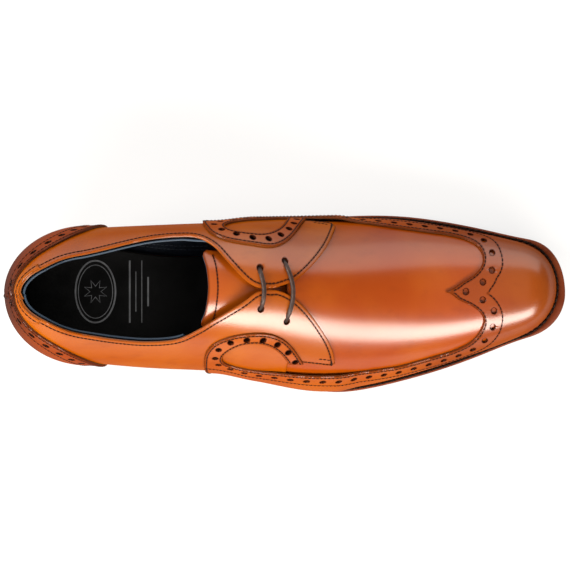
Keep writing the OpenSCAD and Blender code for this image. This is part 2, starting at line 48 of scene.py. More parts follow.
SHOE_LENGTH = 305.0
STATION_GAP = SHOE_LENGTH / 15.25
TIP_X = SHOE_LENGTH - 9.0
HEEL_X, HEEL_BACK, HEEL_RUN = 45.0, 4.7, 60.0
TOE_ROUND, CROWN_ROUND = 24.0, 18.0
BULGE = 0.2
OUTSOLE_T, WELT_T = 5.0, 3.0
BASE_T = OUTSOLE_T + WELT_T
FRONT_RUN = HEEL_RUN + TIP_X - HEEL_X
HEEL_BREAST = 72.0
FAN_RUN = 240.0
ORIGIN = np.array([-SHOE_LENGTH / 2, 6.0, 0.0])
MM = 0.001

SOLE_LOW = [27, 26.5, 25.5, 23.5, 20, 15, 9.5, 5, 1.8, 0.2, 0, 0.8, 2.8, 6.2, 10.6, 15.6, 21]
RIDGE = [104, 103, 99.5, 95.5, 92, 89.7, 87, 82, 73.5, 64.5, 56, 49.3, 45, 42.3, 40.8, 40, 40]
MIDDLE = [0, 0, 0, 0.2, 1, 1.8, 2.6, 2.6, 1.9, 1.3, 0.9, 0.7, 0.8, 1.5, 2.4, 3.2, 3.8]
MEDIAL, LATERAL = 1, -1
WIDTHS = {MEDIAL: [31.5, 31.5, 31.5, 32.6, 33.4, 34.4, 35.2, 35.6, 36.2, 36.9, 37,
                   35.4, 32, 27.8, 23.6, 20.5, 18],
          LATERAL: [33.2, 33.2, 33.2, 35.6, 37.5, 38.4, 39.8, 43, 48, 48.8, 45.3,
                    40, 33.8, 26.4, 18.9, 12.4, 7]}
WIDE_AT = {MEDIAL: [17, 17, 17, 18, 20, 20, 18, 16, 13, 10, 8, 7, 6.5, 6, 6, 6, 6],
           LATERAL: [17, 17, 17, 14, 11, 9, 7, 6, 6, 6, 6, 6, 6, 6, 6, 6, 6]}
TUCKS = {MEDIAL: [6, 6, 6, 9, 13, 14.5, 13.5, 11, 8, 5.5, 4, 3, 2.5, 2.5, 2.5, 2.5, 2.5],
         LATERAL: [6, 6, 6, 7.5, 8, 7, 5.5, 4.5, 4, 3.5, 3, 2.5, 2.5, 2.5, 2.5, 2.5, 2.5]}
ROUNDS = {MEDIAL: [2, 2, 2, 2.3, 2.7, 2.75, 2.6, 2.4, 2.3, 2.25, 2.25, 2.3, 2.4, 2.45, 2.5, 2.5, 2.5],
          LATERAL: [2, 2, 2, 1.9, 1.85, 1.88, 1.95, 2, 2.08, 2.12, 2.2, 2.3, 2.4, 2.45, 2.5, 2.5, 2.5]}
SOLE_WIDTHS = {MEDIAL: [29, 29, 29, 29.3, 28, 28, 30.5, 35.5, 41, 43, 43.8, 43, 40, 36, 30.8, 27.5, 26],
               LATERAL: [31, 31, 31, 32.5, 34.5, 36.5, 40, 45.5, 53.5, 56.5, 53.2,
                         48.2, 42.2, 34.6, 25.6, 20.5, 16]}


def to_frame(points):
    """Shoe coordinates in millimetres to the frame's metres."""
    return (np.asarray(points, float) + ORIGIN) * MM


def smooth(t):
    t = np.clip(t, 0, 1)
    return t * t * (3 - 2 * t)


def mix(a, b, t):
    return a + (b - a) * t


def along(stations, x):
    """A smooth curve over stations one STATION_GAP apart: a uniform cubic B-spline."""
    v = np.asarray(stations, float)
    u = np.clip(np.asarray(x, float) / STATION_GAP, 0, len(v) - 1.0001)
    i = np.floor(u).astype(int)
    t = u - i
    a, b, c, d = (v[np.clip(i + k, 0, len(v) - 1)] for k in (-1, 0, 1, 2))
    return ((1 - t)**3 * a + (3 * t**3 - 6 * t**2 + 4) * b
            + (-3 * t**3 + 3 * t**2 + 3 * t + 1) * c + t**3 * d) / 6


def by_side(side, table, x):
    return np.where(side > 0, along(table[MEDIAL], x), along(table[LATERAL], x))


def closing(x, end, stretch, power):
    """Falls from 1 to 0 over the last stretch before end, like the round of a toe."""
    s = np.clip((x - end + stretch) / stretch, 0, 1)
    return np.sqrt(np.clip(1 - s**power, 0, 1))


def edge_z(x):
    return along(SOLE_LOW, x) + BASE_T


def last_width(side, x):
    return (by_side(side, WIDTHS, x) - side * along(MIDDLE, x)) * closing(x, TIP_X, TOE_ROUND, 3.6)


def crown_z(x, y):
    """The last's height over a plan point in front of the heel."""
    side = np.where(y < along(MIDDLE, x), -1.0, 1.0)
    n = by_side(side, ROUNDS, x)
    z1 = edge_z(x) + by_side(side, WIDE_AT, x)
    z2 = z1 + (along(RIDGE, x) - z1) * closing(x, TIP_X, CROWN_ROUND, 3)
    out = np.clip(np.abs(y - along(MIDDLE, x)) / np.maximum(last_width(side, x), 0.001), 0, 1)
    return z1 + (z2 - z1) * (1 - out**n)**(1 / n)


def last_point(side, run, climb, fan=False):
    """Points on the last. run is the distance along one side from the heel's back; climb is 0 at the
    lower edge, BULGE at the widest line and 1 at the top. With fan, the columns past FAN_RUN all end
    at one point on the ridge, so that they go round the toe."""
    side, run, climb = np.broadcast_arrays(*(np.asarray(v, float) for v in (side, run, climb)))
    turn = np.clip(run / HEEL_RUN, 0, 1) * math.pi / 2
    in_heel = run < HEEL_RUN
    x0 = np.where(in_heel, HEEL_BACK + (HEEL_X - HEEL_BACK) * (1 - np.cos(turn)), HEEL_X + run - HEEL_RUN)
    x = np.clip(x0, HEEL_X, TIP_X)
    w, wide = last_width(side, x), by_side(side, WIDE_AT, x)
    power = 2 / by_side(side, ROUNDS, x)
    z1 = edge_z(x0) + wide
    z2 = z1 + (along(RIDGE, x0) - z1) * closing(x0, TIP_X, CROWN_ROUND, 3)
    fall = 1 - np.minimum(climb / BULGE, 1)
    rise = np.clip((climb - BULGE) / (1 - BULGE), 0, 1) * math.pi / 2
    tuck = by_side(side, TUCKS, x) * fall**2
    step = 0.01
    slope = (last_width(side, np.minimum(x + step, TIP_X)) - last_width(side, x - step)) / (2 * step)
    slope = np.where(in_heel, 0, slope)
    length = np.sqrt(1 + slope**2)
    out = np.cos(rise)**power
    y = (w * out - tuck / length) * np.sin(turn)
    z = np.where(climb < BULGE, z1 - wide * fall, z1 + (z2 - z1) * np.sin(rise)**power)
    up = z - z1
    lean = np.where(up < 0, 6 * np.clip(-up / wide, 0, 1)**2, 11 * (np.clip(up, 0, 80) / 44)**1.7)
    px = x0 + lean * np.cos(turn) + tuck * slope / length
    py = along(MIDDLE, x0) + side * y
    if fan:
        far = (run > FAN_RUN) & (climb > BULGE)
        centre_x = HEEL_X + FAN_RUN - HEEL_RUN
        centre_y = along(MIDDLE, centre_x)
        fan_x = mix(centre_x, x0, out)
        fan_y = mix(centre_y, along(MIDDLE, x0) + side * w, out)
        px, py = np.where(far, fan_x, px), np.where(far, fan_y, py)
        z = np.where(far, crown_z(fan_x, fan_y), z)
    return np.stack([px, py, z], -1)


def lengths_along(points):
    """How far along the line of points each one is."""
    return np.concatenate([[0], np.cumsum(np.linalg.norm(np.diff(points, axis=0), axis=1))])


class Chart:
    """A flat map of the last. A place on it is (c, v) in millimetres: c along the shoe and v up from
    the lower edge, or out from the ridge on a crown chart, which spreads both sides of the ridge."""
    ROWS, STEP = 160, 0.5

    def __init__(self, kind):
        self.kind = kind
        self.fan = kind == "toe"
        end_run = FRONT_RUN - 0.01 if kind != "crown" else 285.0
        fine = FRONT_RUN - 26
        runs = np.concatenate([np.arange(0.05, fine, 1.0),
                               fine + (end_run - fine) * np.sin(np.linspace(0, math.pi / 2, 60))])
        rows = np.concatenate([np.linspace(0, BULGE, 20)[:-1], np.linspace(BULGE, 1, self.ROWS)])
        self.sides = {}
        for side in (MEDIAL, LATERAL):
            grid = last_point(side, runs[:, None], rows[None, :], self.fan)
            outline = grid[:, 19]
            reach = lengths_along(outline)
            if kind == "crown":
                reach = HEEL_X + runs - HEEL_RUN
            lengths = np.linalg.norm(np.diff(grid, axis=1), axis=2)
            arc = np.concatenate([np.zeros((len(runs), 1)), np.cumsum(lengths, axis=1)], axis=1)
            if kind == "crown":
                arc = arc[:, -1:] - arc
            marks = np.arange(0, arc.max() + self.STEP, self.STEP)
            if kind == "crown":
                climbs = np.array([np.interp(marks, a[::-1], rows[::-1]) for a in arc])
            else:
                climbs = np.array([np.interp(marks, a, rows) for a in arc])
            self.sides[side] = {"runs": runs, "reach": reach, "climbs": climbs, "total": reach[-1], "arc": arc}

    def split(self, c, v):
        """Which side a place is on, how far along that side, and how far up it."""
        if self.kind == "crown":
            return np.where(v < 0, -1.0, 1.0), c, np.abs(v)
        side = np.where(c < 0, -1.0, 1.0)
        if self.kind == "heel":
            return side, np.abs(c), v
        total = np.where(side > 0, self.sides[MEDIAL]["total"], self.sides[LATERAL]["total"])
        return side, total - np.abs(c), v

    def join(self, side, reach, v):
        """The chart place of a point given by its side, reach and arc."""
        if self.kind == "crown":
            return reach, side * v
        if self.kind == "heel":
            return side * reach, v
        return side * (self.sides[side]["total"] - reach), v

    def at(self, c, v):
        """Points on the last."""
        c, v = np.broadcast_arrays(np.asarray(c, float), np.asarray(v, float))
        side, reach, up = self.split(c, v)
        run, climb = np.empty(c.shape), np.empty(c.shape)
        for s, data in self.sides.items():
            here = side == s
            if not here.any():
                continue
            column = np.interp(reach[here], data["reach"], np.arange(len(data["runs"])))
            i = np.clip(np.floor(column).astype(int), 0, len(data["runs"]) - 2)
            mark = np.clip(up[here] / self.STEP, 0, data["climbs"].shape[1] - 1.001)
            j = np.floor(mark).astype(int)
            s_i, t_j = column - i, mark - j
            table = data["climbs"]
            lower = mix(table[i, j], table[i + 1, j], s_i)
            upper = mix(table[i, j + 1], table[i + 1, j + 1], s_i)
            climb[here] = mix(lower, upper, t_j)
            run[here] = mix(data["runs"][i], data["runs"][i + 1], s_i)
        return last_point(side, run, climb, self.fan)

    def spot(self, c, v):
        """One point on the last."""
        return self.at(np.array([c]), np.array([v]))[0]

    def slopes(self, c, v):
        """How the point moves with c and with v."""
        e = 0.25
        low = 0.0 if self.kind != "crown" else -1e9
        v_high, v_low = v + e, np.maximum(v - e, low)
        by_c = (self.at(c + e, v) - self.at(c - e, v)) / (2 * e)
        by_v = (self.at(c, v_high) - self.at(c, v_low)) / (v_high - v_low)[..., None]
        return by_c, by_v

    def normals(self, c, v):
        by_c, by_v = self.slopes(c, v)
        n = np.cross(by_c, by_v)
        if self.kind == "heel":
            n = -n
        return n / np.maximum(np.linalg.norm(n, axis=-1, keepdims=True), 1e-9)

    def raised(self, c, v, out):
        """Points a distance outside the last, kept above the welt."""
        base = self.at(c, v)
        moved = base + self.normals(c, v) * np.broadcast_to(out, np.shape(c))[..., None]
        moved[..., 2] = np.maximum(moved[..., 2], edge_z(moved[..., 0]) + 0.2)
        return moved

    def place(self, run, climb):
        """Chart places from a signed run (- is lateral) and a climb."""
        run, climb = np.broadcast_arrays(np.asarray(run, float), np.asarray(climb, float))
        out = np.zeros(run.shape + (2,))
        for side in (MEDIAL, LATERAL):
            here = np.sign(run + 1e-9) == side
            if not here.any():
                continue
            data = self.sides[side]
            a = np.abs(run[here])
            column = np.interp(a, data["runs"], np.arange(len(data["runs"])))
            i = np.clip(np.floor(column).astype(int), 0, len(data["runs"]) - 2)
            t = column - i
            arc = np.array([mix(np.interp(k, CLIMB_ROWS, data["arc"][n]),
                                np.interp(k, CLIMB_ROWS, data["arc"][n + 1]), f)
                            for n, f, k in zip(i, t, climb[here])])
            reach = np.interp(a, data["runs"], data["reach"])
            c, v = self.join(side, reach, arc)
            out[here] = np.stack([c, v], -1)
        return out

    def over(self, x, y):
        """Chart places straight above plan points, for the front of the shoe."""
        x, y = np.asarray(x, float), np.asarray(y, float)
        if self.kind == "crown":
            guess = np.stack([x, y - along(MIDDLE, x)], -1)
        else:
            if not hasattr(self, "tree"):
                cs, vs = np.meshgrid(np.arange(-150, 151, 1.0), np.arange(1, 118, 1.0), indexing="ij")
                spots = self.at(cs, vs).reshape(-1, 3)
                self.tree = kdtree.KDTree(len(spots))
                for i, p in enumerate(spots):
                    self.tree.insert((p[0], p[1], 0), i)
                self.tree.balance()
                self.spots = np.stack([cs.ravel(), vs.ravel()], -1)
            nearest = [self.tree.find((a, b, 0))[1] for a, b in zip(x.ravel(), y.ravel())]
            guess = self.spots[nearest].reshape(x.shape + (2,))
        for _ in range(6):
            miss = np.stack([x, y], -1) - self.at(guess[..., 0], guess[..., 1])[..., :2]
            by_c, by_v = self.slopes(guess[..., 0], guess[..., 1])
            det = by_c[..., 0] * by_v[..., 1] - by_c[..., 1] * by_v[..., 0]
            det = np.where(np.abs(det) < 0.02, 0.02 * np.sign(det + 1e-12), det)
            move = np.stack([(miss[..., 0] * by_v[..., 1] - miss[..., 1] * by_v[..., 0]) / det,
                             (miss[..., 1] * by_c[..., 0] - miss[..., 0] * by_c[..., 1]) / det], -1)
            guess = guess + np.clip(move, -3, 3)
        return guess


CLIMB_ROWS = np.concatenate([np.linspace(0, BULGE, 20)[:-1], np.linspace(BULGE, 1, Chart.ROWS)])
heel_chart, toe_chart, crown_chart = Chart("heel"), Chart("toe"), Chart("crown")

# ---- Lines on a chart ----


def curve(points, closed=False, gap=1.2):
    """A smooth line through the points, with a point about every gap millimetres."""
    p = np.asarray(points, float)
    n = len(p)
    legs = np.linalg.norm(np.roll(p, -1, 0) - p, axis=1)
    line = []
    for i in range(n if closed else n - 1):
        a = p[(i - 1) % n] if closed or i > 0 else 2 * p[0] - p[1]
        d = p[(i + 2) % n] if closed or i < n - 2 else 2 * p[-1] - p[-2]
        b, c = p[i], p[(i + 1) % n]
        before = max(np.linalg.norm(b - a), 1e-6)**0.5
        here = max(legs[i], 1e-6)**0.5
        after = max(np.linalg.norm(d - c), 1e-6)**0.5
        m1 = ((b - a) / before - (c - a) / (before + here) + (c - b) / here) * here
        m2 = ((c - b) / here - (d - b) / (here + after) + (d - c) / after) * here
        t = np.arange(max(1, round(legs[i] / gap)))[:, None] / max(1, round(legs[i] / gap))
        line.append((2 * t**3 - 3 * t**2 + 1) * b + (t**3 - 2 * t**2 + t) * m1
                    + (3 * t**2 - 2 * t**3) * c + (t**3 - t**2) * m2)
    line = np.concatenate(line)
    return line if closed else np.concatenate([line, p[-1:]])


def straight(a, b, gap=1.5):
    a, b = np.asarray(a, float), np.asarray(b, float)
    n = max(1, round(np.linalg.norm(b - a) / gap))
    return a + (b - a) * np.linspace(0, 1, n + 1)[:, None]


def loop(*lines):
    """One closed outline from lines laid end to end."""
    points = np.concatenate(lines)
    keep = np.linalg.norm(points - np.roll(points, 1, 0), axis=1) > 0.05
    return points[keep]


def unit(v):
    return v / np.maximum(np.linalg.norm(v, axis=-1, keepdims=True), 1e-12)


def respace(chart, line, gap, start=0.0):
    """Points along a line, a true gap apart on the shoe."""
    s = lengths_along(chart.at(line[:, 0], line[:, 1]))
    n = max(1, round((s[-1] - 2 * start) / gap))
    marks = start + (s[-1] - 2 * start) * np.linspace(0, 1, n + 1)
    return np.stack([np.interp(marks, s, line[:, k]) for k in (0, 1)], -1)


def moved(chart, line, by):
    """An open line moved sideways by a true distance, to the left of its direction as drawn on the
    chart, without the loops of tight bends."""
    ahead = np.gradient(line, axis=0)
    by_c, by_v = chart.slopes(line[:, 0], line[:, 1])
    e, f, g = (by_c * by_c).sum(-1), (by_c * by_v).sum(-1), (by_v * by_v).sum(-1)
    c, v = ahead[:, 0], ahead[:, 1]
    left = np.stack([-(f * c + g * v), e * c + f * v], -1)
    size = np.sqrt(np.maximum(e * left[:, 0]**2 + 2 * f * left[:, 0] * left[:, 1] + g * left[:, 1]**2, 1e-12))
    new = line + left / size[:, None] * by
    here, there = chart.at(line[:, 0], line[:, 1]), chart.at(new[:, 0], new[:, 1])
    far = np.array([np.linalg.norm(here - p, axis=1).min() for p in there])
    return new[far > abs(by) * 0.93]


def inside(points, polygon):
    """Which points lie inside a closed polygon."""
    x, y = points[:, 0:1], points[:, 1:2]
    a, b = polygon, np.roll(polygon, -1, 0)
    crosses = (a[:, 1] > y) != (b[:, 1] > y)
    with np.errstate(divide="ignore", invalid="ignore"):
        at = a[:, 0] + (y - a[:, 1]) * (b[:, 0] - a[:, 0]) / (b[:, 1] - a[:, 1])
    return (crosses & (x < at)).sum(1) % 2 == 1


def tree_of(points):
    tree = kdtree.KDTree(len(points))
    for i, p in enumerate(points):
        tree.insert(p, i)
    tree.balance()
    return tree


def distances(tree, points):
    """How far each point is from the nearest one in the tree."""
    return np.array([tree.find(p)[2] for p in points])


def joined(*lines):
    """Lines laid end to end, as one open line. Each may be a list of points."""
    return np.concatenate([np.asarray(line, float) for line in lines])


def circle(sides):
    """The angles of a regular polygon's corners."""
    return np.arange(sides) * 2 * math.pi / sides


# ---- Meshes ----

def add_mesh(name, verts, faces, material, body="shoe", replaces=(), sharp=40.0, values=None):
    """A smooth-shaded piece from shoe coordinates, sharp only where its faces meet at an angle."""
    mesh = bpy.data.meshes.new(name)
    mesh.from_pydata(to_frame(verts).tolist(), [], [list(map(int, f)) for f in faces])
    for key, data in (values or {}).items():
        mesh.attributes.new(key, "FLOAT", "POINT").data.foreach_set("value", np.asarray(data, np.float32))
    mesh.polygons.foreach_set("use_smooth", [True] * len(mesh.polygons))
    mesh.set_sharp_from_angle(angle=math.radians(sharp))
    mesh.materials.append(material)
    piece = bpy.data.objects.new(name, mesh)
    bpy.context.scene.collection.objects.link(piece)
    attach(piece, body)
    if replaces:
        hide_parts(*replaces)
    return piece


def capsules(ends, radius, sides=6):
    """Short round-ended rods between pairs of points, as one set of verts and faces."""
    a, b = np.asarray(ends[0], float), np.asarray(ends[1], float)
    axis = unit(b - a)
    helper = np.where(np.abs(axis[:, 2:3]) < 0.9, [[0, 0, 1.0]], [[1.0, 0, 0]])
    u = unit(np.cross(axis, helper))
    w = np.cross(axis, u)
    rings = [(0.0, -1.0, 0), (0.72, -0.7, 0), (1.0, 0.0, 0), (1.0, 0.0, 1), (0.72, 0.7, 1), (0.0, 1.0, 1)]
    angle = circle(sides)[None, :, None]
    round_way = u[:, None] * np.cos(angle) + w[:, None] * np.sin(angle)
    verts = []
    for size, shift, end in rings:
        centre = ((b if end else a) + axis * shift * radius)[:, None]
        verts.append(centre + size * radius * round_way if size else centre)
    verts = np.concatenate(verts, axis=1)
    one = []
    for j in range(sides):
        n = (j + 1) % sides
        one.append((0, 1 + n, 1 + j))
        for ring in range(3):
            low, high = 1 + ring * sides, 1 + (ring + 1) * sides
            one.append((low + j, low + n, high + n, high + j))
        one.append((1 + 3 * sides + j, 1 + 3 * sides + n, 1 + 4 * sides))
    count = verts.shape[1]
    faces = [tuple(i * count + x for x in f) for i in range(len(a)) for f in one]
    return verts.reshape(-1, 3), faces


class Pile:
    """Collects many small shapes into one mesh."""

    def __init__(self):
        self.verts, self.faces, self.count = [], [], 0

    def add(self, verts, faces):
        self.verts.append(verts)
        self.faces.extend(tuple(self.count + x for x in f) for f in faces)
        self.count += len(verts)

    def piece(self, name, material, **more):
        return add_mesh(name, np.concatenate(self.verts), self.faces, material, sharp=60, **more)


stitches = Pile()


def sew(chart, line, out, pitch=2.1, radius=0.34, length=0.62, lift=0.03, pile=None):
    """A row of stitches on a line, each a short thread dipping into the leather at both ends."""
    pile = pile or stitches
    marks = respace(chart, line, pitch, pitch / 2)
    if len(marks) < 2:
        return
    a, b = marks[:-1], marks[1:]
    gap = (1 - length) / 2
    start, end = mix(a, b, gap), mix(a, b, 1 - gap)
    middle = (start + end) / 2
    outs = out if callable(out) else (lambda x, v: np.full(len(x), out))
    p, q, m = (chart.raised(k[:, 0], k[:, 1], outs(chart.at(k[:, 0], k[:, 1])[:, 0], k[:, 1]) + up)
               for k, up in ((start, -0.1), (end, -0.1), (middle, lift + 0.06)))
    pile.add(*capsules((p, m), radius))
    pile.add(*capsules((m, q), radius))


class Sheet:
    """A piece of leather laid on the last: an outline on a chart, with holes, between two offsets."""
    OUTLINE_GAP = 1.3
    RINGS = (0.22, 0.6)
    ROW_LANES = (-0.55, 0, 0.55)
    RIM_CLEAR, NEAREST = 0.17, 0.42
    EDGE_ROUND, GROOVE = 0.45, 0.06
    FAR = 9.0

    def __init__(self, name, chart, outline, inner, outer, material, holes=(), rows=(), grain=2.0, body="shoe",
                 replaces=()):
        self.chart = chart
        outline = self.spread(outline)
        if self.area(outline) < 0:
            outline = outline[::-1]
        self.loops = [outline] + [self.hole(c, v, d) for c, v, d in holes]
        rim_tree = tree_of(self.between(self.loops, (0, 0.25, 0.5, 0.75)))
        co, tris = self.fill(self.inner_points(rows, grain, rim_tree))
        spots = chart.at(co[:, 0], co[:, 1])
        rim = distances(rim_tree, spots)
        short = np.maximum(self.EDGE_ROUND - rim, 0)
        sunk = 0.8 * (self.EDGE_ROUND - np.sqrt(self.EDGE_ROUND**2 - short**2))
        row_gap = np.full(len(co), self.FAR)
        if len(rows):
            dense = [respace(chart, row, 0.5) for row in rows]
            row_gap = distances(tree_of(np.concatenate([chart.at(*row.T) for row in dense])), spots)
            sunk = sunk + self.GROOVE * np.exp(-(row_gap / 0.5)**2)
        hole_gap = np.full(len(co), self.FAR)
        if holes:
            hole_gap = distances(tree_of(self.between(self.loops[1:], (0, 0.5))), spots)
        edge_gap = distances(tree_of(chart.at(*outline.T)), spots)

        n = chart.normals(co[:, 0], co[:, 1])
        top = spots + n * (self.offset(outer, spots, co[:, 1]) - sunk)[:, None]
        bottom = spots + n * self.offset(inner, spots, co[:, 1])[:, None]
        for layer in (top, bottom):
            layer[:, 2] = np.maximum(layer[:, 2], edge_z(layer[:, 0]) + 0.2)
        pressed = bottom[:, 2] <= edge_z(bottom[:, 0]) + 0.2001
        bottom[pressed, 2] -= 0.01
        values = {"edge_gap": np.minimum(edge_gap, self.FAR), "hole_gap": np.minimum(hole_gap, self.FAR),
                  "row_gap": row_gap}
        values = {key: np.concatenate([v, v]) for key, v in values.items()}
        values["under"] = np.repeat([0.0, 1.0], len(co))
        self.piece = add_mesh(name, np.concatenate([top, bottom]), self.closed(tris, len(co)),
                              material, body=body, replaces=replaces, sharp=38, values=values)

    def between(self, loops, steps):
        """Points on the last at each loop's corners and part of the way along its edges."""
        return np.concatenate([self.chart.at(*mix(l, np.roll(l, -1, 0), t).T) for l in loops for t in steps])

    def inner_points(self, rows, grain, rim_tree):
        """Mesh points inside the outline: rings beside its edges, lanes along the rows, then an even grid."""
        outline, holes = self.loops[0], self.loops[1:]
        loose = [self.shifted(outline, self.RINGS[0])]
        loose += [self.shifted(hole, -self.RINGS[0]) for hole in holes]
        loose.append(self.shifted(outline, self.RINGS[1]))
        for row in rows:
            row = respace(self.chart, row, 1.1)
            loose += [moved(self.chart, row, lane) if lane else row for lane in self.ROW_LANES]
        low, high = outline.min(0), outline.max(0)
        cs = np.arange(low[0], high[0] + grain, grain)
        vs = np.arange(low[1], high[1] + grain, grain * 0.866)
        grid = np.stack(np.meshgrid(cs, vs, indexing="ij"), -1)
        grid[:, 1::2, 0] += grain / 2
        points = np.concatenate(loose + [self.thinned(grid)])
        points = points[inside(points, outline)]
        spots = self.chart.at(points[:, 0], points[:, 1])
        keep = distances(rim_tree, spots) > self.RIM_CLEAR
        for hole in holes:
            keep &= ~inside(points, hole)
        return self.sparse(points[keep], spots[keep])

    def fill(self, points):
        """Triangles over the outline, without its holes: their corners on the chart, and their indices."""
        edges, start = [], 0
        for l in self.loops:
            edges += [(start + i, start + (i + 1) % len(l)) for i in range(len(l))]
            start += len(l)
        flat = np.concatenate(self.loops + [points])
        co, _, faces, _, _, _ = delaunay_2d_cdt([tuple(p) for p in flat], edges, [], 0, 1e-5)
        co = np.array([tuple(p) for p in co])
        tris = np.array([list(f) for f in faces])
        middles = co[tris].mean(1)
        good = inside(middles, self.loops[0])
        for hole in self.loops[1:]:
            good &= ~inside(middles, hole)
        tris = tris[good]
        a, b, c = co[tris[:, 0]], co[tris[:, 1]], co[tris[:, 2]]
        turned = (b - a)[:, 0] * (c - a)[:, 1] - (b - a)[:, 1] * (c - a)[:, 0]
        real = np.abs(turned) > 1e-7
        tris, turned = tris[real], turned[real]
        tris[turned < 0] = tris[turned < 0][:, ::-1]
        used = np.unique(tris)
        index = -np.ones(len(co), int)
        index[used] = np.arange(len(used))
        return co[used], index[tris]

    def closed(self, tris, count):
        """The faces of both sides and the edge between them. The bottom's points follow the top's."""
        up = tris[:, ::-1] if self.chart.kind == "heel" else tris
        rim = {}
        for f in up:
            for i in range(3):
                a, b = f[i], f[(i + 1) % 3]
                if (b, a) in rim:
                    del rim[(b, a)]
                else:
                    rim[(a, b)] = True
        walls = [(b, a, a + count, b + count) for a, b in rim]
        return [tuple(f) for f in up] + [tuple(x + count for x in f[::-1]) for f in up] + walls

    @staticmethod
    def offset(value, spots, v):
        return value(spots[:, 0], v) if callable(value) else np.full(len(spots), float(value))

    @staticmethod
    def area(line):
        a, b = line, np.roll(line, -1, 0)
        return (a[:, 0] * b[:, 1] - a[:, 1] * b[:, 0]).sum() / 2

    def spread(self, outline):
        """The outline with its points at most OUTLINE_GAP apart and none too near the last one."""
        closed = np.concatenate([outline, outline[:1]])
        p = self.chart.at(closed[:, 0], closed[:, 1])
        out = []
        for i in range(len(outline)):
            n = max(1, int(np.ceil(np.linalg.norm(p[i + 1] - p[i]) / self.OUTLINE_GAP)))
            out += [closed[i] + (closed[i + 1] - closed[i]) * k / n for k in range(n)]
        out = np.array(out)
        spots = self.chart.at(out[:, 0], out[:, 1])
        keep, last = [0], spots[0]
        for i in range(1, len(out)):
            if np.linalg.norm(spots[i] - last) > 0.35:
                keep.append(i)
                last = spots[i]
        if np.linalg.norm(spots[keep[-1]] - spots[0]) < 0.3:
            keep.pop()
        return out[keep]

    def hole(self, c, v, d):
        """A chart loop that is a true circle on the shoe."""
        angle = circle(14)
        by_c, by_v = self.chart.slopes(np.array([c]), np.array([v]))
        way_c = unit(by_c[0])
        way_v = unit(by_v[0] - way_c * (by_v[0] @ way_c))
        m = np.array([[by_c[0] @ way_c, by_v[0] @ way_c], [by_c[0] @ way_v, by_v[0] @ way_v]])
        ring = np.stack([np.cos(angle), np.sin(angle)]) * d / 2
        return np.array([c, v]) + (np.linalg.inv(m) @ ring).T

    def shifted(self, loop_line, by):
        return moved(self.chart, np.concatenate([loop_line[-2:], loop_line, loop_line[:2]]), by)

    def thinned(self, grid):
        """Near the fan's point the toe chart's columns crowd together, so most of them are left out."""
        flat = grid.reshape(-1, 2)
        if self.chart.kind != "toe":
            return flat
        by_c, _ = self.chart.slopes(flat[:, 0], flat[:, 1])
        width = np.linalg.norm(by_c, axis=1)
        every = np.maximum(1, 2**np.round(np.log2(1 / np.maximum(width, 0.02)))).astype(int)
        column = np.repeat(np.arange(grid.shape[0]), grid.shape[1])
        return flat[column % every == 0]

    def sparse(self, points, spots):
        """Drops a point too near an earlier one; rings and rows come first."""
        taken, keep = set(), []
        for i, p in enumerate(spots):
            cell = tuple(np.floor(p / self.NEAREST).astype(int))
            if cell not in taken:
                taken.add(cell)
                keep.append(i)
        return points[keep]


# ---- Materials ----


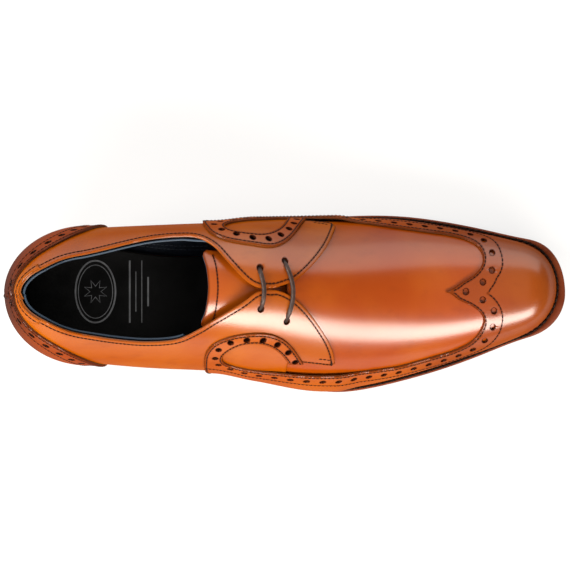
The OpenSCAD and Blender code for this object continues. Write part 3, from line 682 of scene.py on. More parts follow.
class Paint:
    """A procedural material. Constants go straight on the shader's sockets."""

    def __init__(self, name, **constants):
        self.material = bpy.data.materials.new(name)
        self.material.use_nodes = True
        self.tree = self.material.node_tree
        self.shader = next(n for n in self.tree.nodes if n.type == "BSDF_PRINCIPLED")
        for key, value in constants.items():
            self.set(key.replace("_", " "), value)

    def set(self, socket, value):
        if isinstance(value, (tuple, list)) and len(value) == 3 and socket.endswith(("Color", "Tint")):
            value = (*value, 1)
        self.shader.inputs[socket].default_value = value

    def node(self, kind, inputs=None, **settings):
        n = self.tree.nodes.new(kind)
        for key, value in settings.items():
            setattr(n, key, value)
        for key, value in (inputs or {}).items():
            if isinstance(value, bpy.types.NodeSocket):
                self.tree.links.new(value, n.inputs[key])
            else:
                n.inputs[key].default_value = value
        return n

    def place(self):
        if not hasattr(self, "spot"):
            self.spot = self.node("ShaderNodeTexCoord").outputs["Object"]
        return self.spot

    def noise(self, scale, detail=3.0, rough=0.5, stretch=None, distortion=0.0):
        spot = self.place()
        if stretch:
            spot = self.node("ShaderNodeMapping", {"Vector": spot, "Scale": stretch}).outputs["Vector"]
        return self.node("ShaderNodeTexNoise", {"Vector": spot, "Scale": scale, "Detail": detail,
                                                "Roughness": rough, "Distortion": distortion}).outputs["Fac"]

    def cells(self, scale):
        return self.node("ShaderNodeTexVoronoi", {"Vector": self.place(), "Scale": scale}).outputs["Distance"]

    def value(self, name):
        return self.node("ShaderNodeAttribute", attribute_name=name, attribute_type="GEOMETRY").outputs["Fac"]

    def ranged(self, source, a, b, low=0.0, high=1.0):
        ends = {"Value": source, "From Min": a, "From Max": b, "To Min": low, "To Max": high}
        return self.node("ShaderNodeMapRange", ends, interpolation_type="SMOOTHSTEP").outputs["Result"]

    def maths(self, operation, a, b):
        return self.node("ShaderNodeMath", {0: a, 1: b}, operation=operation).outputs["Value"]

    def mixed(self, fac, a, b, how="MIX"):
        n = self.node("ShaderNodeMix", {"Factor": fac}, data_type="RGBA", blend_type=how)
        for key, value in ((6, a), (7, b)):
            if isinstance(value, bpy.types.NodeSocket):
                self.tree.links.new(value, n.inputs[key])
            else:
                n.inputs[key].default_value = (*value, 1)
        return n.outputs[2]

    def axis(self, name):
        if not hasattr(self, "split"):
            self.split = self.node("ShaderNodeSeparateXYZ", {"Vector": self.place()})
        return self.split.outputs[name]

    def color(self, source):
        self.tree.links.new(source, self.shader.inputs["Base Color"])

    def rough(self, source):
        self.tree.links.new(source, self.shader.inputs["Roughness"])

    def bump(self, *layers):
        """Bumps stacked one on another, each a height and a depth in metres."""
        normal = None
        for height, depth in layers:
            n = self.node("ShaderNodeBump", {"Height": height, "Distance": depth, "Strength": 1.0})
            if normal:
                self.tree.links.new(normal, n.inputs["Normal"])
            normal = n.outputs["Normal"]
        self.tree.links.new(normal, self.shader.inputs["Normal"])


# The share of a display colour's light that a surface needs to show as that colour under the lamps.
LAMP_SHARE = 0.33


def linear(r, g, b):
    """A display colour, 0-255, as the linear base colour that shows it under the studio's lamps."""
    light = (((v / 255 + 0.055) / 1.055)**2.4 if v > 10.3 else v / 255 / 12.92 for v in (r, g, b))
    return tuple(LAMP_SHARE * v for v in light)


def calf(name, main, pale, dark, burnish_and_shade=(), edge_dark=0.55):
    """Polished tan calf: mottled dye, fine pores and creases, darker at its edges, rows and holes.
    The darkening spans are (axis, from, to, amount), in metres, over which the colour darkens: a real burnish
    on the cap's front, painted shade low on the sides near the sole, and burnish with painted shade at the
    heel's back."""
    m = Paint(name, Specular_IOR_Level=0.0, Coat_Roughness=0.24, Coat_IOR=1.68)
    facing = m.node("ShaderNodeLayerWeight", {"Blend": 0.5}).outputs["Facing"]
    polish = m.ranged(facing, 0.13, 0.7, 0.9, 0.08)
    polish = m.maths("MULTIPLY", polish, m.ranged(m.value("edge_gap"), 0.2, 1.4, 0.3, 1))
    polish = m.maths("MULTIPLY", polish, m.ranged(m.value("row_gap"), 0.2, 0.9, 0.4, 1))
    polish = m.maths("MULTIPLY", polish, m.ranged(m.value("hole_gap"), 0.1, 0.7, 0.05, 1))
    m.tree.links.new(polish, m.shader.inputs["Coat Weight"])
    cloud = m.ranged(m.noise(26, 3, 0.5, distortion=0.3), 0.3, 0.72)
    color = m.mixed(cloud, main, pale)
    wisps = m.ranged(m.noise(120, 4, 0.65, stretch=(0.5, 1, 1)), 0.5, 0.8, 0, 0.22)
    color = m.mixed(wisps, color, dark)
    # Each span darkens the colour along an axis; the low Z spans near the sole are painted shade, the cap's X
    # span is real burnish.
    for axis, a, b, amount in burnish_and_shade:
        reach = m.maths("ADD", m.axis(axis), m.maths("MULTIPLY", m.noise(30, 2), 0.02))
        color = m.mixed(m.ranged(reach, a, b, 0, amount), color, dark)
    edge = m.ranged(m.value("edge_gap"), 0.15, 1.5, edge_dark, 0)
    edge = m.maths("MAXIMUM", edge, m.ranged(m.value("hole_gap"), 0.1, 0.9, 0.95, 0))
    edge = m.maths("MAXIMUM", edge, m.ranged(m.value("row_gap"), 0.15, 0.9, 0.5, 0))
    deep = tuple(k * 0.32 for k in dark)
    color = m.mixed(edge, color, deep)
    flesh = m.ranged(m.value("under"), 0.3, 0.9, 0, 0.8)
    color = m.mixed(flesh, color, linear(150, 104, 70))
    m.color(color)
    pores = m.cells(1500)
    grain = m.noise(900, 2, 0.6)
    creases = m.noise(160, 5, 0.7, stretch=(1.6, 0.7, 1), distortion=0.8)
    m.rough(m.ranged(m.noise(70, 3), 0.3, 0.7, 0.3, 0.43))
    m.bump((creases, 0.00006), (grain, 0.000015), (pores, 0.00002))
    return m.material


DARK = linear(120, 36, 4)
# The Z spans darken the cap and the quarters towards the sole: painted shade low on the sides. The cap's X span
# is its real burnish.
cap_calf = calf("cap_calf", linear(206, 90, 2), linear(220, 108, 8), DARK,
                (("X", 0.06, 0.1, 0.38), ("Z", 0.03, 0.012, 0.4)))
vamp_calf = calf("vamp_calf", linear(202, 82, 0), linear(216, 100, 6), DARK)
quarter_calf = calf("quarter_calf", linear(206, 94, 2), linear(220, 112, 8), DARK,
                    (("Z", 0.03, 0.012, 0.4),), 0.12)
# The heel's X span darkens its back strongly: a burnish, with painted shade where the back turns away from the
# lamps.
heel_calf = calf("heel_calf", linear(176, 70, 8), linear(192, 84, 14), linear(58, 24, 14),
                 (("X", -0.108, -0.146, 0.85),))
tongue_calf = calf("tongue_calf", linear(208, 90, 2), linear(220, 104, 6), DARK)


def lining(name, main, pale, fold):
    m = Paint(name, Specular_IOR_Level=0.22, Coat_Weight=0.04, Coat_Roughness=0.35)
    color = m.mixed(m.ranged(m.noise(55, 4, 0.6), 0.35, 0.7), main, pale)
    color = m.mixed(m.ranged(m.value("edge_gap"), 0.1, 0.5, 0.7, 0), color, fold)
    m.color(color)
    m.rough(m.ranged(m.noise(90, 3), 0.3, 0.7, 0.42, 0.56))
    m.bump((m.noise(220, 4, 0.6, distortion=0.5), 0.00012), (m.cells(1300), 0.00004))
    return m.material


navy_lining = lining("navy_lining", linear(22, 30, 46), linear(40, 52, 72), linear(70, 96, 122))
sock_leather = lining("sock_leather", linear(3, 3, 5), linear(9, 10, 15), linear(3, 3, 5))
vamp_cloth = lining("vamp_cloth", linear(24, 30, 42), linear(38, 46, 60), linear(24, 30, 42))


def plain(name, main, pale, rough=(0.5, 0.65), scale=60, grain=700, depth=0.00006, **constants):
    """A simple mottled, faintly bumpy material."""
    m = Paint(name, **constants)
    m.color(m.mixed(m.ranged(m.noise(scale, 4, 0.6), 0.3, 0.7), main, pale))
    m.rough(m.ranged(m.noise(scale * 2, 3), 0.3, 0.7, *rough))
    m.bump((m.noise(grain, 3, 0.6), depth))
    return m.material


def stacked(name, main, pale, layer_gap, **constants):
    """Leather edge dressing: fine lines along the layers, under a waxed stain."""
    m = Paint(name, **constants)
    lines = m.noise(1 / layer_gap, 3, 0.6, stretch=(0.02, 0.02, 1.0))
    color = m.mixed(m.ranged(lines, 0.35, 0.7), main, pale)
    color = m.mixed(m.ranged(m.noise(40, 3), 0.4, 0.75, 0, 0.5), color, tuple(k * 0.5 for k in main))
    m.color(color)
    m.rough(m.ranged(m.noise(90, 3), 0.3, 0.7, 0.32, 0.48))
    m.bump((lines, 0.00008), (m.noise(800, 2), 0.00003))
    return m.material


welt_leather = plain("welt_leather", linear(138, 58, 26), linear(172, 84, 46), (0.45, 0.6), 50, 900, 0.00008,
                     Specular_IOR_Level=0.1)
waxed = {"Coat_Weight": 0.1, "Coat_Roughness": 0.35, "Specular_IOR_Level": 0.15}
sole_edge = stacked("sole_edge", linear(66, 30, 16), linear(112, 56, 30), 0.0012, **waxed)
heel_leather = stacked("heel_leather", linear(62, 29, 16), linear(100, 50, 28), 0.0016, **waxed)
top_rubber = plain("top_rubber", linear(26, 24, 24), linear(38, 36, 35), (0.6, 0.75), 80, 1200, 0.00006)
insole_leather = plain("insole_leather", linear(190, 150, 110), linear(206, 170, 130))
cork = plain("cork", linear(150, 108, 66), linear(186, 146, 98), (0.8, 0.95), 300, 500, 0.0003)
rib_canvas = plain("rib_canvas", linear(206, 198, 176), linear(222, 214, 196), (0.8, 0.9), 400, 900, 0.0001)
stiffener = plain("stiffener", linear(178, 160, 130), linear(196, 180, 152))
smooth_metal = {"scale": 200, "grain": 900, "depth": 0.00001, "Metallic": 1.0}
steel = plain("steel", (0.5, 0.51, 0.53), (0.6, 0.6, 0.62), (0.28, 0.38), **smooth_metal)
eyelet_steel = plain("eyelet_steel", (0.16, 0.15, 0.15), (0.22, 0.21, 0.2), (0.35, 0.45), **smooth_metal)
nail_brass = plain("nail_brass", (0.7, 0.5, 0.2), (0.78, 0.58, 0.27), (0.28, 0.4), **smooth_metal)
stay_leather = plain("stay_leather", linear(196, 152, 108), linear(208, 168, 126))


def thread_of(name, main, pale, grain):
    m = Paint(name, Specular_IOR_Level=0.08)
    m.color(m.mixed(m.ranged(m.noise(grain, 2), 0.35, 0.7), main, pale))
    m.rough(m.ranged(m.noise(grain, 2), 0.3, 0.7, 0.5, 0.7))
    m.bump((m.noise(2600, 2), 0.00006))
    return m.material


thread = thread_of("thread", linear(40, 14, 5), linear(64, 24, 9), 900)
welt_thread = thread_of("welt_thread", linear(36, 18, 12), linear(60, 32, 20), 900)
lining_thread = thread_of("lining_thread", linear(84, 90, 104), linear(120, 126, 140), 900)


def lace_material():
    m = Paint("lace_cotton", Coat_Weight=0.12, Coat_Roughness=0.35, Sheen_Weight=0.08, Sheen_Roughness=0.4,
              Specular_IOR_Level=0.3)
    tint = m.mixed(m.ranged(m.noise(500, 3), 0.35, 0.7), linear(60, 36, 28), linear(88, 56, 44))
    # Painted shade: the cord darkens in the valleys between the braid's strands.
    tint = m.mixed(m.ranged(m.value("braid"), 0.35, 0.05, 0, 0.75), tint, linear(30, 15, 9))
    m.color(tint)
    m.rough(m.ranged(m.noise(300, 2), 0.3, 0.7, 0.42, 0.56))
    m.bump((m.noise(2400, 2), 0.00004))
    return m.material


lace_cotton = lace_material()
aglet_plastic = plain("aglet_plastic", linear(40, 22, 14), linear(54, 30, 20), (0.25, 0.32), 300, 900, 0.00001)
# Near-black paint for the discs of painted shade under the punched holes.
punch_shade_paint = plain("punch_shade_paint", linear(20, 10, 7), linear(30, 15, 10), (0.7, 0.85), 300, 900, 0.00002,
                   Specular_IOR_Level=0.0)
foil = plain("foil", (0.22, 0.225, 0.24), (0.34, 0.35, 0.37), (0.3, 0.45), 240, 1200, 0.00003, Metallic=0.9)

# ---- The upper's edges, as [run, climb] on each side, or plan points at the toe ----

LIFT_V = 0.25
SKIN, FIT = 1.2, 0.3
VAMP_IN, VAMP_OUT = 2.3, 3.5
LAP_IN = VAMP_OUT + FIT
OVERLAP = SKIN + 0.15

TOPLINE = {MEDIAL: [[20, 0.765], [35, 0.757], [50, 0.72], [61, 0.697], [80, 0.64], [94, 0.592], [108, 0.572],
                    [118, 0.588], [127, 0.69], [135, 0.84], [141.5, 0.935], [146, 0.978], [151, 0.997],
                    [157, 0.997],
                    [163, 0.98], [168, 0.958], [174.5, 0.895], [181.5, 0.795], [187, 0.68], [191, 0.535],
                    [192, 0.47]],
           LATERAL: [[20, 0.765], [35, 0.758], [50, 0.722], [65, 0.68], [79, 0.65], [93, 0.638], [108, 0.662],
                     [120, 0.742], [127.5, 0.805], [136, 0.873], [144, 0.937], [149, 0.98], [155, 0.997],
                     [161.5, 0.99], [168, 0.96], [174.5, 0.91], [181.5, 0.83], [187.5, 0.735], [190.3, 0.655],
                     [191.2, 0.595]]}
QUARTER_FRONT = {MEDIAL: [[190.5, 0.43], [183, 0.387], [176.5, 0.355], [170, 0.34]],
                 LATERAL: [[189.6, 0.583], [182, 0.592], [172, 0.595], [166.6, 0.578]]}
QUARTER_UNDER = {MEDIAL: [[167.5, 0.27], [165, 0.18], [160, 0.02]],
                 LATERAL: [[166, 0.46], [164, 0.2], [160, 0.02]]}
COUNTER_EDGE = [[0, 0.62], [20, 0.63], [36, 0.6], [46, 0.56], [56, 0.47], [64, 0.33], [70, 0.12], [71.5, 0.0]]
TAB_EDGE = [[0, 0.66], [22, 0.67], [31, 0.715]]
HOOK_LOW = {MEDIAL: [[131, 0.03], [126, 0.1], [122.5, 0.22], [121.5, 0.35], [123, 0.455], [126, 0.565],
                     [132.5, 0.65],
                     [140, 0.695], [148.5, 0.722], [156.5, 0.732], [162, 0.706], [167.5, 0.635], [172, 0.525],
                     [175, 0.42], [176.4, 0.35]],
            LATERAL: [[131, 0.03], [126, 0.1], [123, 0.22], [122, 0.36], [122.3, 0.49], [123.5, 0.575],
                      [127.5, 0.652],
                      [136, 0.717], [143, 0.747], [151, 0.763], [157.5, 0.762], [164, 0.738], [169, 0.69],
                      [172.5, 0.637], [174.5, 0.598]]}
HOOK_HIGH = {MEDIAL: [[146, 0.365], [140, 0.378], [135.5, 0.4], [133.4, 0.44], [133.4, 0.49], [135.7, 0.545],
                      [140.5, 0.583], [146, 0.606], [150.5, 0.613], [155, 0.603], [159.3, 0.568],
                      [162.7, 0.51],
                      [165.2, 0.42], [166.4, 0.35]],
             LATERAL: [[147, 0.462], [138, 0.465], [134, 0.48], [132, 0.515], [132.6, 0.568], [136.5, 0.628],
                       [142, 0.675], [149, 0.698], [156, 0.692], [161.5, 0.66], [165, 0.62], [167.2, 0.585]]}
HOOK_HOLES = {MEDIAL: [[138, 0.33], [131, 0.355], [127.6, 0.41], [128.3, 0.475], [132.5, 0.55],
                       [140.5, 0.623],
                       [148.5, 0.664], [156.5, 0.665], [162.5, 0.615], [167, 0.54], [170, 0.45],
                       [171.3, 0.39]],
              LATERAL: [[139.5, 0.428], [133, 0.44], [129.2, 0.475], [128.2, 0.545], [130.3, 0.622],
                        [135, 0.675],
                        [143, 0.713], [152, 0.727], [159.5, 0.715], [164, 0.69], [168, 0.652],
                        [170.2, 0.612]]}
BAND_TOP = {MEDIAL: [[236, 0.472], [227, 0.462], [218, 0.44], [204.5, 0.39], [193, 0.345], [178, 0.315],
                     [163, 0.32],
                     [154, 0.345]],
            LATERAL: [[236, 0.49], [226, 0.483], [217, 0.495], [204, 0.505], [190, 0.508], [176, 0.5],
                      [163, 0.483],
                      [155, 0.468]]}
WING_FRONT = {MEDIAL: [[244.4, 5.2], [252.3, 9.7], [256.3, 13.9], [257.1, 18.9], [254.1, 23.4],
                       [248.3, 26.2], [238.5, 28.5], [230, 29.6]],
              LATERAL: [[243.2, -3.2], [251.1, -6.7], [256.1, -10.5], [257.3, -14.2],
                        [255.2, -18.9], [249.9, -24.1], [239.6, -28.7], [231, -31.2]]}
SPIKE = [236.0, 0.8]
SECOND_SPIKE = [259.0, 0.2]
CENTRE_HOLE = [247.2, 0.8]
FRONT_HOLES = {MEDIAL: [[256.7, 5.9], [261.8, 11.6], [262.7, 19.7]],
               LATERAL: [[256.6, -3.2], [262.8, -8.5], [263.2, -16.3]]}
LACE_HOLES = {MEDIAL: [[150.9, 0.885], [163.6, 0.83]], LATERAL: [[151.5, 0.895], [164.8, 0.84]]}
LACE_HOLE_D = 2.9
TONGUE_SIDE = {MEDIAL: [[122.5, 0.665], [134, 0.69], [150, 0.755], [169, 0.84]],
               LATERAL: [[121.5, 0.705], [134, 0.715], [150, 0.76], [169, 0.84]]}


def quarter_in(x, v):
    return mix(2.2, LAP_IN, smooth((x - 112) / 22))


def quarter_out(x, v):
    return quarter_in(x, v) + SKIN


def wing_in(x, v):
    """Over the quarter, then the vamp, and closer to the last where neither is under it."""
    over = quarter_in(x, v) + OVERLAP * (1 - smooth((x - 178) / 14))
    bare = np.maximum((1 - smooth((v - 1) / 7)) * smooth((x - 140) / 20), smooth((x - 262) / 38))
    return over - (LAP_IN - 2.1) * bare


def wing_out(x, v):
    return wing_in(x, v) + SKIN


def placed(chart, side, points):
    p = np.asarray(points, float)
    return chart.place(side * p[:, 0], p[:, 1])


def over_one(x, y):
    """One plan point's place on the toe chart, as a line of one point."""
    return toe_chart.over(np.array([x]), np.array([y]))


# Wing cap: its bottom runs round the toe from one side to the other.
wing_edges = {}
for side in (MEDIAL, LATERAL):
    hook_low = curve(placed(toe_chart, side, HOOK_LOW[side]))
    hook_high = curve(placed(toe_chart, side, HOOK_HIGH[side]))
    front = toe_chart.over(*np.array(WING_FRONT[side]).T)
    top = curve(joined(over_one(*SPIKE), front, placed(toe_chart, side, BAND_TOP[side]), hook_high[:1]))
    wing_edges[side] = {"low": hook_low, "high": hook_high, "top": top}
m_edge, l_edge = wing_edges[MEDIAL], wing_edges[LATERAL]
foot = [np.array([e["low"][0][0], LIFT_V]) for e in (l_edge, m_edge)]
outline = loop(straight(foot[0], foot[1]), m_edge["low"], m_edge["high"][::-1], m_edge["top"][::-1],
               l_edge["top"][1:], l_edge["high"], l_edge["low"][::-1])

EDGE_ROW, INNER_ROW, HOLE_ROW = 1.15, 9.8, 5.2
HOLE_GAP, PUNCH_D = 8.6, 2.8
wing_rows, punches = [], []
for side, e in wing_edges.items():
    inwards = -1 if side == MEDIAL else 1
    low_row = moved(toe_chart, e["low"], -inwards * EDGE_ROW)
    top_row = moved(toe_chart, joined(e["top"], e["high"][1:]), inwards * EDGE_ROW)
    top_row = top_row[(side * top_row[:, 0] > 0.25) | (top_row[:, 1] < 30)]
    top_row = joined(over_one(SPIKE[0] + 3.2, SPIKE[1]), top_row)
    row_end = placed(toe_chart, side, [[124.5, HOOK_HIGH[side][0][1] + 0.025]])[0]
    inner_row = moved(toe_chart, joined(e["top"], straight(e["top"][-1], row_end)), inwards * INNER_ROW)
    spots = toe_chart.at(*inner_row.T)
    off_spike = (spots[:, 0] < 240) | (np.abs(spots[:, 1] - SECOND_SPIKE[1]) > 6.5)
    inner_row = joined(over_one(*SECOND_SPIKE), inner_row[(side * inner_row[:, 0] > 0) & off_spike])
    wing_rows += [low_row, top_row, inner_row]
    near = toe_chart.over(*np.array(FRONT_HOLES[side]).T)
    hole_line = moved(toe_chart, e["top"], inwards * HOLE_ROW)
    hole_line = hole_line[np.linalg.norm(hole_line - near[-1], axis=1).argmin():]
    hole_line = joined(hole_line, curve(placed(toe_chart, side, HOOK_HOLES[side])))
    punches += [(c, v, PUNCH_D) for c, v in joined(near[:-1], respace(toe_chart, hole_line, HOLE_GAP))]
punches.append((*over_one(*CENTRE_HOLE)[0], PUNCH_D))
wing = Sheet("wing_cap_leather", toe_chart, outline, wing_in, wing_out, cap_calf, holes=punches, rows=wing_rows,
             replaces=["wing_cap"], grain=2.2)
for row in wing_rows:
    sew(toe_chart, row, lambda x, v: wing_out(x, v) - 0.06)


def shade_holes(sheet, holes, out):
    """Painted shade for punched holes: a thin dark disc just below each, where the hole's shadow falls."""
    for c, v, d in holes:
        ring = sheet.hole(c, v, d - 0.02)
        outs = out(sheet.chart.at(*ring.T)[:, 0], ring[:, 1]) if callable(out) else out
        top, low = (sheet.chart.raised(ring[:, 0], ring[:, 1], outs + up) for up in (0.22, -0.1))
        n = len(ring)
        faces = [tuple(range(n)), tuple(2 * n - 1 - i for i in range(n))]
        faces += [(i, n + i, n + (i + 1) % n, (i + 1) % n) for i in range(n)]
        if sheet.chart.kind == "heel":
            faces = [f[::-1] for f in faces]
        shade_discs.add(np.concatenate([top, low]), faces)


# The holes of the W at the toe show leather, so only those behind it get a disc of painted shade.
W_SHADE_X = 238
shade_discs = Pile()
shade_holes(wing, [h for h in punches if toe_chart.spot(*h[:2])[0] <= W_SHADE_X], wing_in)

# Vamp
VAMP_SIDE = {MEDIAL: [[150.5, 0.8], [150, 0.72], [146, 0.6], [135, 0.52], [130, 0.42], [133, 0.3],
                      [160, 0.22],
                      [200, 0.22], [240, 0.26], [268, 0.34]],
             LATERAL: [[150.5, 0.8], [150, 0.72], [146, 0.6], [134, 0.54], [128, 0.47], [130, 0.4],
                       [160, 0.34],
                       [200, 0.28], [240, 0.26], [268, 0.34]]}


def crown_line(side, points):
    """A line on the crown chart from plan x and climb."""
    p = np.asarray(points, float)
    return crown_chart.place(side * (p[:, 0] - HEEL_X + HEEL_RUN), p[:, 1])


m_side, l_side = (crown_line(side, VAMP_SIDE[side]) for side in (MEDIAL, LATERAL))
outline = loop(straight(l_side[0], m_side[0], 3), curve(m_side, gap=3), straight(m_side[-1], l_side[-1], 3),
               curve(l_side, gap=3)[::-1])
Sheet("vamp_leather", crown_chart, outline, VAMP_IN, VAMP_OUT, vamp_calf, replaces=["vamp"])

# Quarters: the topline, round the facing, and back under the band.
SKIVE_DEPTH, SKIVE_RUN, SKIVE_RISE = 0.8, 18.0, 9.0
QUARTER_ROW, CORNER_ROW = 1.9, 4.2
toplines = {}
tack_threads = Pile()
for side, word in ((MEDIAL, "medial"), (LATERAL, "lateral")):
    back = placed(heel_chart, side, [[0.2, 0.765], [8, 0.765]])
    rim = curve(np.concatenate([back, placed(heel_chart, side, TOPLINE[side])]))
    front = curve(np.concatenate([rim[-1:], placed(heel_chart, side, QUARTER_FRONT[side])]))
    under = curve(placed(heel_chart, side, QUARTER_FRONT[side][-1:] + QUARTER_UNDER[side]))
    bottom = straight([under[-1][0], LIFT_V], [side * 0.15, LIFT_V])
    outline = loop(rim, front[1:], under[1:], bottom)
    inwards = -1 if side == MEDIAL else 1
    facing = rim[np.abs(rim[:, 0]) > np.abs(placed(heel_chart, side, [[30.5, 0.7]])[0, 0])]
    edge_row = moved(heel_chart, joined(facing, front[:1]), inwards * QUARTER_ROW)
    foot_row = moved(heel_chart, front[:-3], inwards * 1.2)
    holes = [(c, v, LACE_HOLE_D) for c, v in placed(heel_chart, side, LACE_HOLES[side])]
    seam_x = heel_chart.spot(*under[len(under) // 3])[0]
    seam_v = front[-1][1]

    def skived(x, v, seam_x=seam_x, seam_v=seam_v):
        """The quarter's outside, thinned to the vamp's level along its seam below the facing."""
        low = 1 - smooth((v - seam_v + SKIVE_RISE) / SKIVE_RISE)
        return quarter_out(x, v) - SKIVE_DEPTH * low * smooth((x - seam_x + SKIVE_RUN) / SKIVE_RUN)

    Sheet("quarter_%s_leather" % word, heel_chart, outline, quarter_in, skived, quarter_calf, holes=holes,
          rows=[edge_row, foot_row], replaces=["quarter_" + word], grain=2.2)
    toplines[side] = rim
    corner_row = moved(heel_chart, front[:-3], inwards * CORNER_ROW)
    from_front = np.linalg.norm(heel_chart.at(*corner_row.T) - heel_chart.at(*front[:1].T), axis=1)
    corner_row = corner_row[(from_front > 4) & (from_front < 13)]
    for row in (edge_row, foot_row, corner_row):
        sew(heel_chart, row, lambda x, v: quarter_out(x, v) - 0.05)
    from_corner = np.linalg.norm(heel_chart.at(*edge_row.T) - heel_chart.at(*edge_row[-1:].T), axis=1)
    sew(heel_chart, edge_row[from_corner < 4.2], quarter_out, pitch=1.0, radius=0.5, length=0.98,
        pile=tack_threads)


def round_heel(points, middle):
    """A line round the heel's back, from lateral to medial: one side's points, then the middle's."""
    lateral, medial = (placed(heel_chart, side, points) for side in (LATERAL, MEDIAL))
    return curve(joined(lateral[::-1], placed(heel_chart, MEDIAL, middle), medial))


# Counter and heel tab, round the heel's back.
COUNTER_IN, COUNTER_OUT = 3.65, 4.85
COUNTER_PUNCH_D = 2.7
counter_top = round_heel(COUNTER_EDGE[1:], COUNTER_EDGE[:1])
outline = loop(straight([counter_top[0][0], LIFT_V], [counter_top[-1][0], LIFT_V]), counter_top[::-1])
rows = [moved(heel_chart, counter_top, -inset) for inset in (1.3, 8.2)]
hole_line = respace(heel_chart, moved(heel_chart, counter_top, -4.8), HOLE_GAP, 9)
punches = [(c, v, COUNTER_PUNCH_D) for c, v in hole_line]
counter = Sheet("counter_leather", heel_chart, outline, COUNTER_IN, COUNTER_OUT, heel_calf, holes=punches,
                rows=rows, replaces=["counter"], grain=2.2)
shade_holes(counter, punches, COUNTER_IN)
# The dark discs stand for the shade inside the punched holes.
shade_discs.piece("punch_backing_tape", punch_shade_paint)
for row in rows:
    sew(heel_chart, row, COUNTER_OUT - 0.1)

TAB_IN, TAB_OUT = 3.5, 4.3
tab_low = round_heel(TAB_EDGE[1:], TAB_EDGE[:1])
tab_high = round_heel([[10, 0.7675], [20, 0.7675], [31, 0.7625]], [[0.1, 0.7675]])
tab_row = moved(heel_chart, tab_high, -1.9)
Sheet("heel_tab_leather", heel_chart, loop(tab_low, tab_high[::-1]), TAB_IN, TAB_OUT, quarter_calf,
      rows=[tab_row], replaces=["heel_tab"])
sew(heel_chart, tab_row, TAB_OUT - 0.05)

# Linings: navy leather inside the quarters, with two rows of stitches low down, above the sock.
lining_threads = Pile()
for side, word in ((MEDIAL, "medial"), (LATERAL, "lateral")):
    rim = toplines[side]
    limit = abs(placed(heel_chart, side, [[112, 0.6]])[0, 0])
    rim_part = rim[np.abs(rim[:, 0]) < limit]
    tail_points = [[121, 0.6], [135, 0.615], [150, 0.62], [170, 0.6]]
    tail = curve(joined(rim_part[-1:], placed(heel_chart, side, tail_points)))
    end = np.array([tail[-1][0], LIFT_V])
    outline = loop(rim_part, tail[1:], straight(tail[-1], end), straight(end, [side * 0.15, LIFT_V]))
    Sheet("quarter_lining_%s_leather" % word, heel_chart, outline, 0.0, 1.0, navy_lining,
          replaces=["quarter_lining_" + word], grain=2.4)
    for up in (0, 0.018):
        row = [[66, 0.1 + up], [80, 0.052 + up], [95, 0.036 + up], [110, 0.03 + up], [124, 0.026 + up]]
        sew(heel_chart, curve(placed(heel_chart, side, row)), -0.02, pitch=2.4, radius=0.24, lift=-0.18,
            pile=lining_threads)
lining_threads.piece("lining_stitches", lining_thread)

# Tongue and its lining, on the tongue's own hinge.
TONGUE_TOP = -2.0
tongue_sides = [curve(crown_line(s, [[x - 15, k] for x, k in TONGUE_SIDE[s]])) for s in (LATERAL, MEDIAL)]
l_tongue, m_tongue = tongue_sides
corner_l, corner_m = l_tongue[0] + [2.2, 0], m_tongue[0] + [2.2, 0]
top_edge = curve(joined([corner_l, l_tongue[0] + [0.2, 2.2]], [[109.0, -14], [110.8, 0], [109.9, 12]],
                        [m_tongue[0] + [0.4, -2.2], corner_m]))
l_tongue, m_tongue = (t[t[:, 0] > t[0, 0] + 2.6] for t in (l_tongue, m_tongue))
outline = loop(straight(l_tongue[-1], m_tongue[-1]), m_tongue[::-1], top_edge[::-1], l_tongue)
tongue_row = moved(crown_chart, top_edge, -5.0)
Sheet("tongue_leather", crown_chart, outline, TONGUE_TOP - SKIN, TONGUE_TOP, tongue_calf, rows=[tongue_row],
      replaces=["tongue"], body="tongue")
tongue_threads = Pile()
sew(crown_chart, tongue_row, TONGUE_TOP - 0.05, pile=tongue_threads)
TONGUE_UNDER = TONGUE_TOP - SKIN
Sheet("tongue_lining_leather", crown_chart, outline, TONGUE_UNDER - 1.1, TONGUE_UNDER - 0.1, navy_lining,
      replaces=["tongue_lining"], body="tongue", grain=2.4)

# The seam down the heel's back shows on the tab and on the counter.
for high, low, out in ((0.735, 0.645, TAB_OUT), (0.6, 0.06, COUNTER_OUT)):
    ends = placed(heel_chart, MEDIAL, [[0, high], [0, low]])
    sew(heel_chart, straight(*ends), out, pitch=1.5, radius=0.42, length=0.9)
stitches.piece("upper_stitches", thread)
tack_threads.piece("facing_bar_tacks", thread, replaces=["bar_tacks"])
tongue_threads.piece("tongue_stitches", thread, body="tongue")

# ---- Sole, welt and heel ----


def sole_half(side, x):
    return by_side(side, SOLE_WIDTHS, x) * closing(x, SHOE_LENGTH, 22, 2.8)


def sole_side(side):
    """One side of the sole's outline in plan, from the heel's back to the toe."""
    s = np.linspace(0, math.pi / 2, 40)[1:]
    heel_x = HEEL_X - (HEEL_X - HEEL_BACK - 1) * np.cos(s)
    heel = np.stack([heel_x, side * sole_half(side, HEEL_X) * np.sin(s)], -1)
    toe_x = 270 + 35 * np.sin(np.linspace(0, math.pi / 2, 34))[:-1]
    x = joined(np.arange(HEEL_X + 2, 270, 2.0), toe_x)
    return joined(heel, np.stack([x, side * sole_half(side, x)], -1))


def inward(line, by):
    """A closed plan line moved inwards, its direction anticlockwise."""
    ahead = unit(np.roll(line, -1, 0) - np.roll(line, 1, 0))
    return line + np.stack([-ahead[:, 1], ahead[:, 0]], -1) * np.broadcast_to(by, len(line))[..., None]


def plan_spaced(line, gap):
    """A closed plan line with its points a gap apart."""
    closed = np.concatenate([line, line[:1]])
    s = lengths_along(closed)
    marks = np.arange(round(s[-1] / gap)) * s[-1] / round(s[-1] / gap)
    return np.stack([np.interp(marks, s, closed[:, k]) for k in (0, 1)], -1)


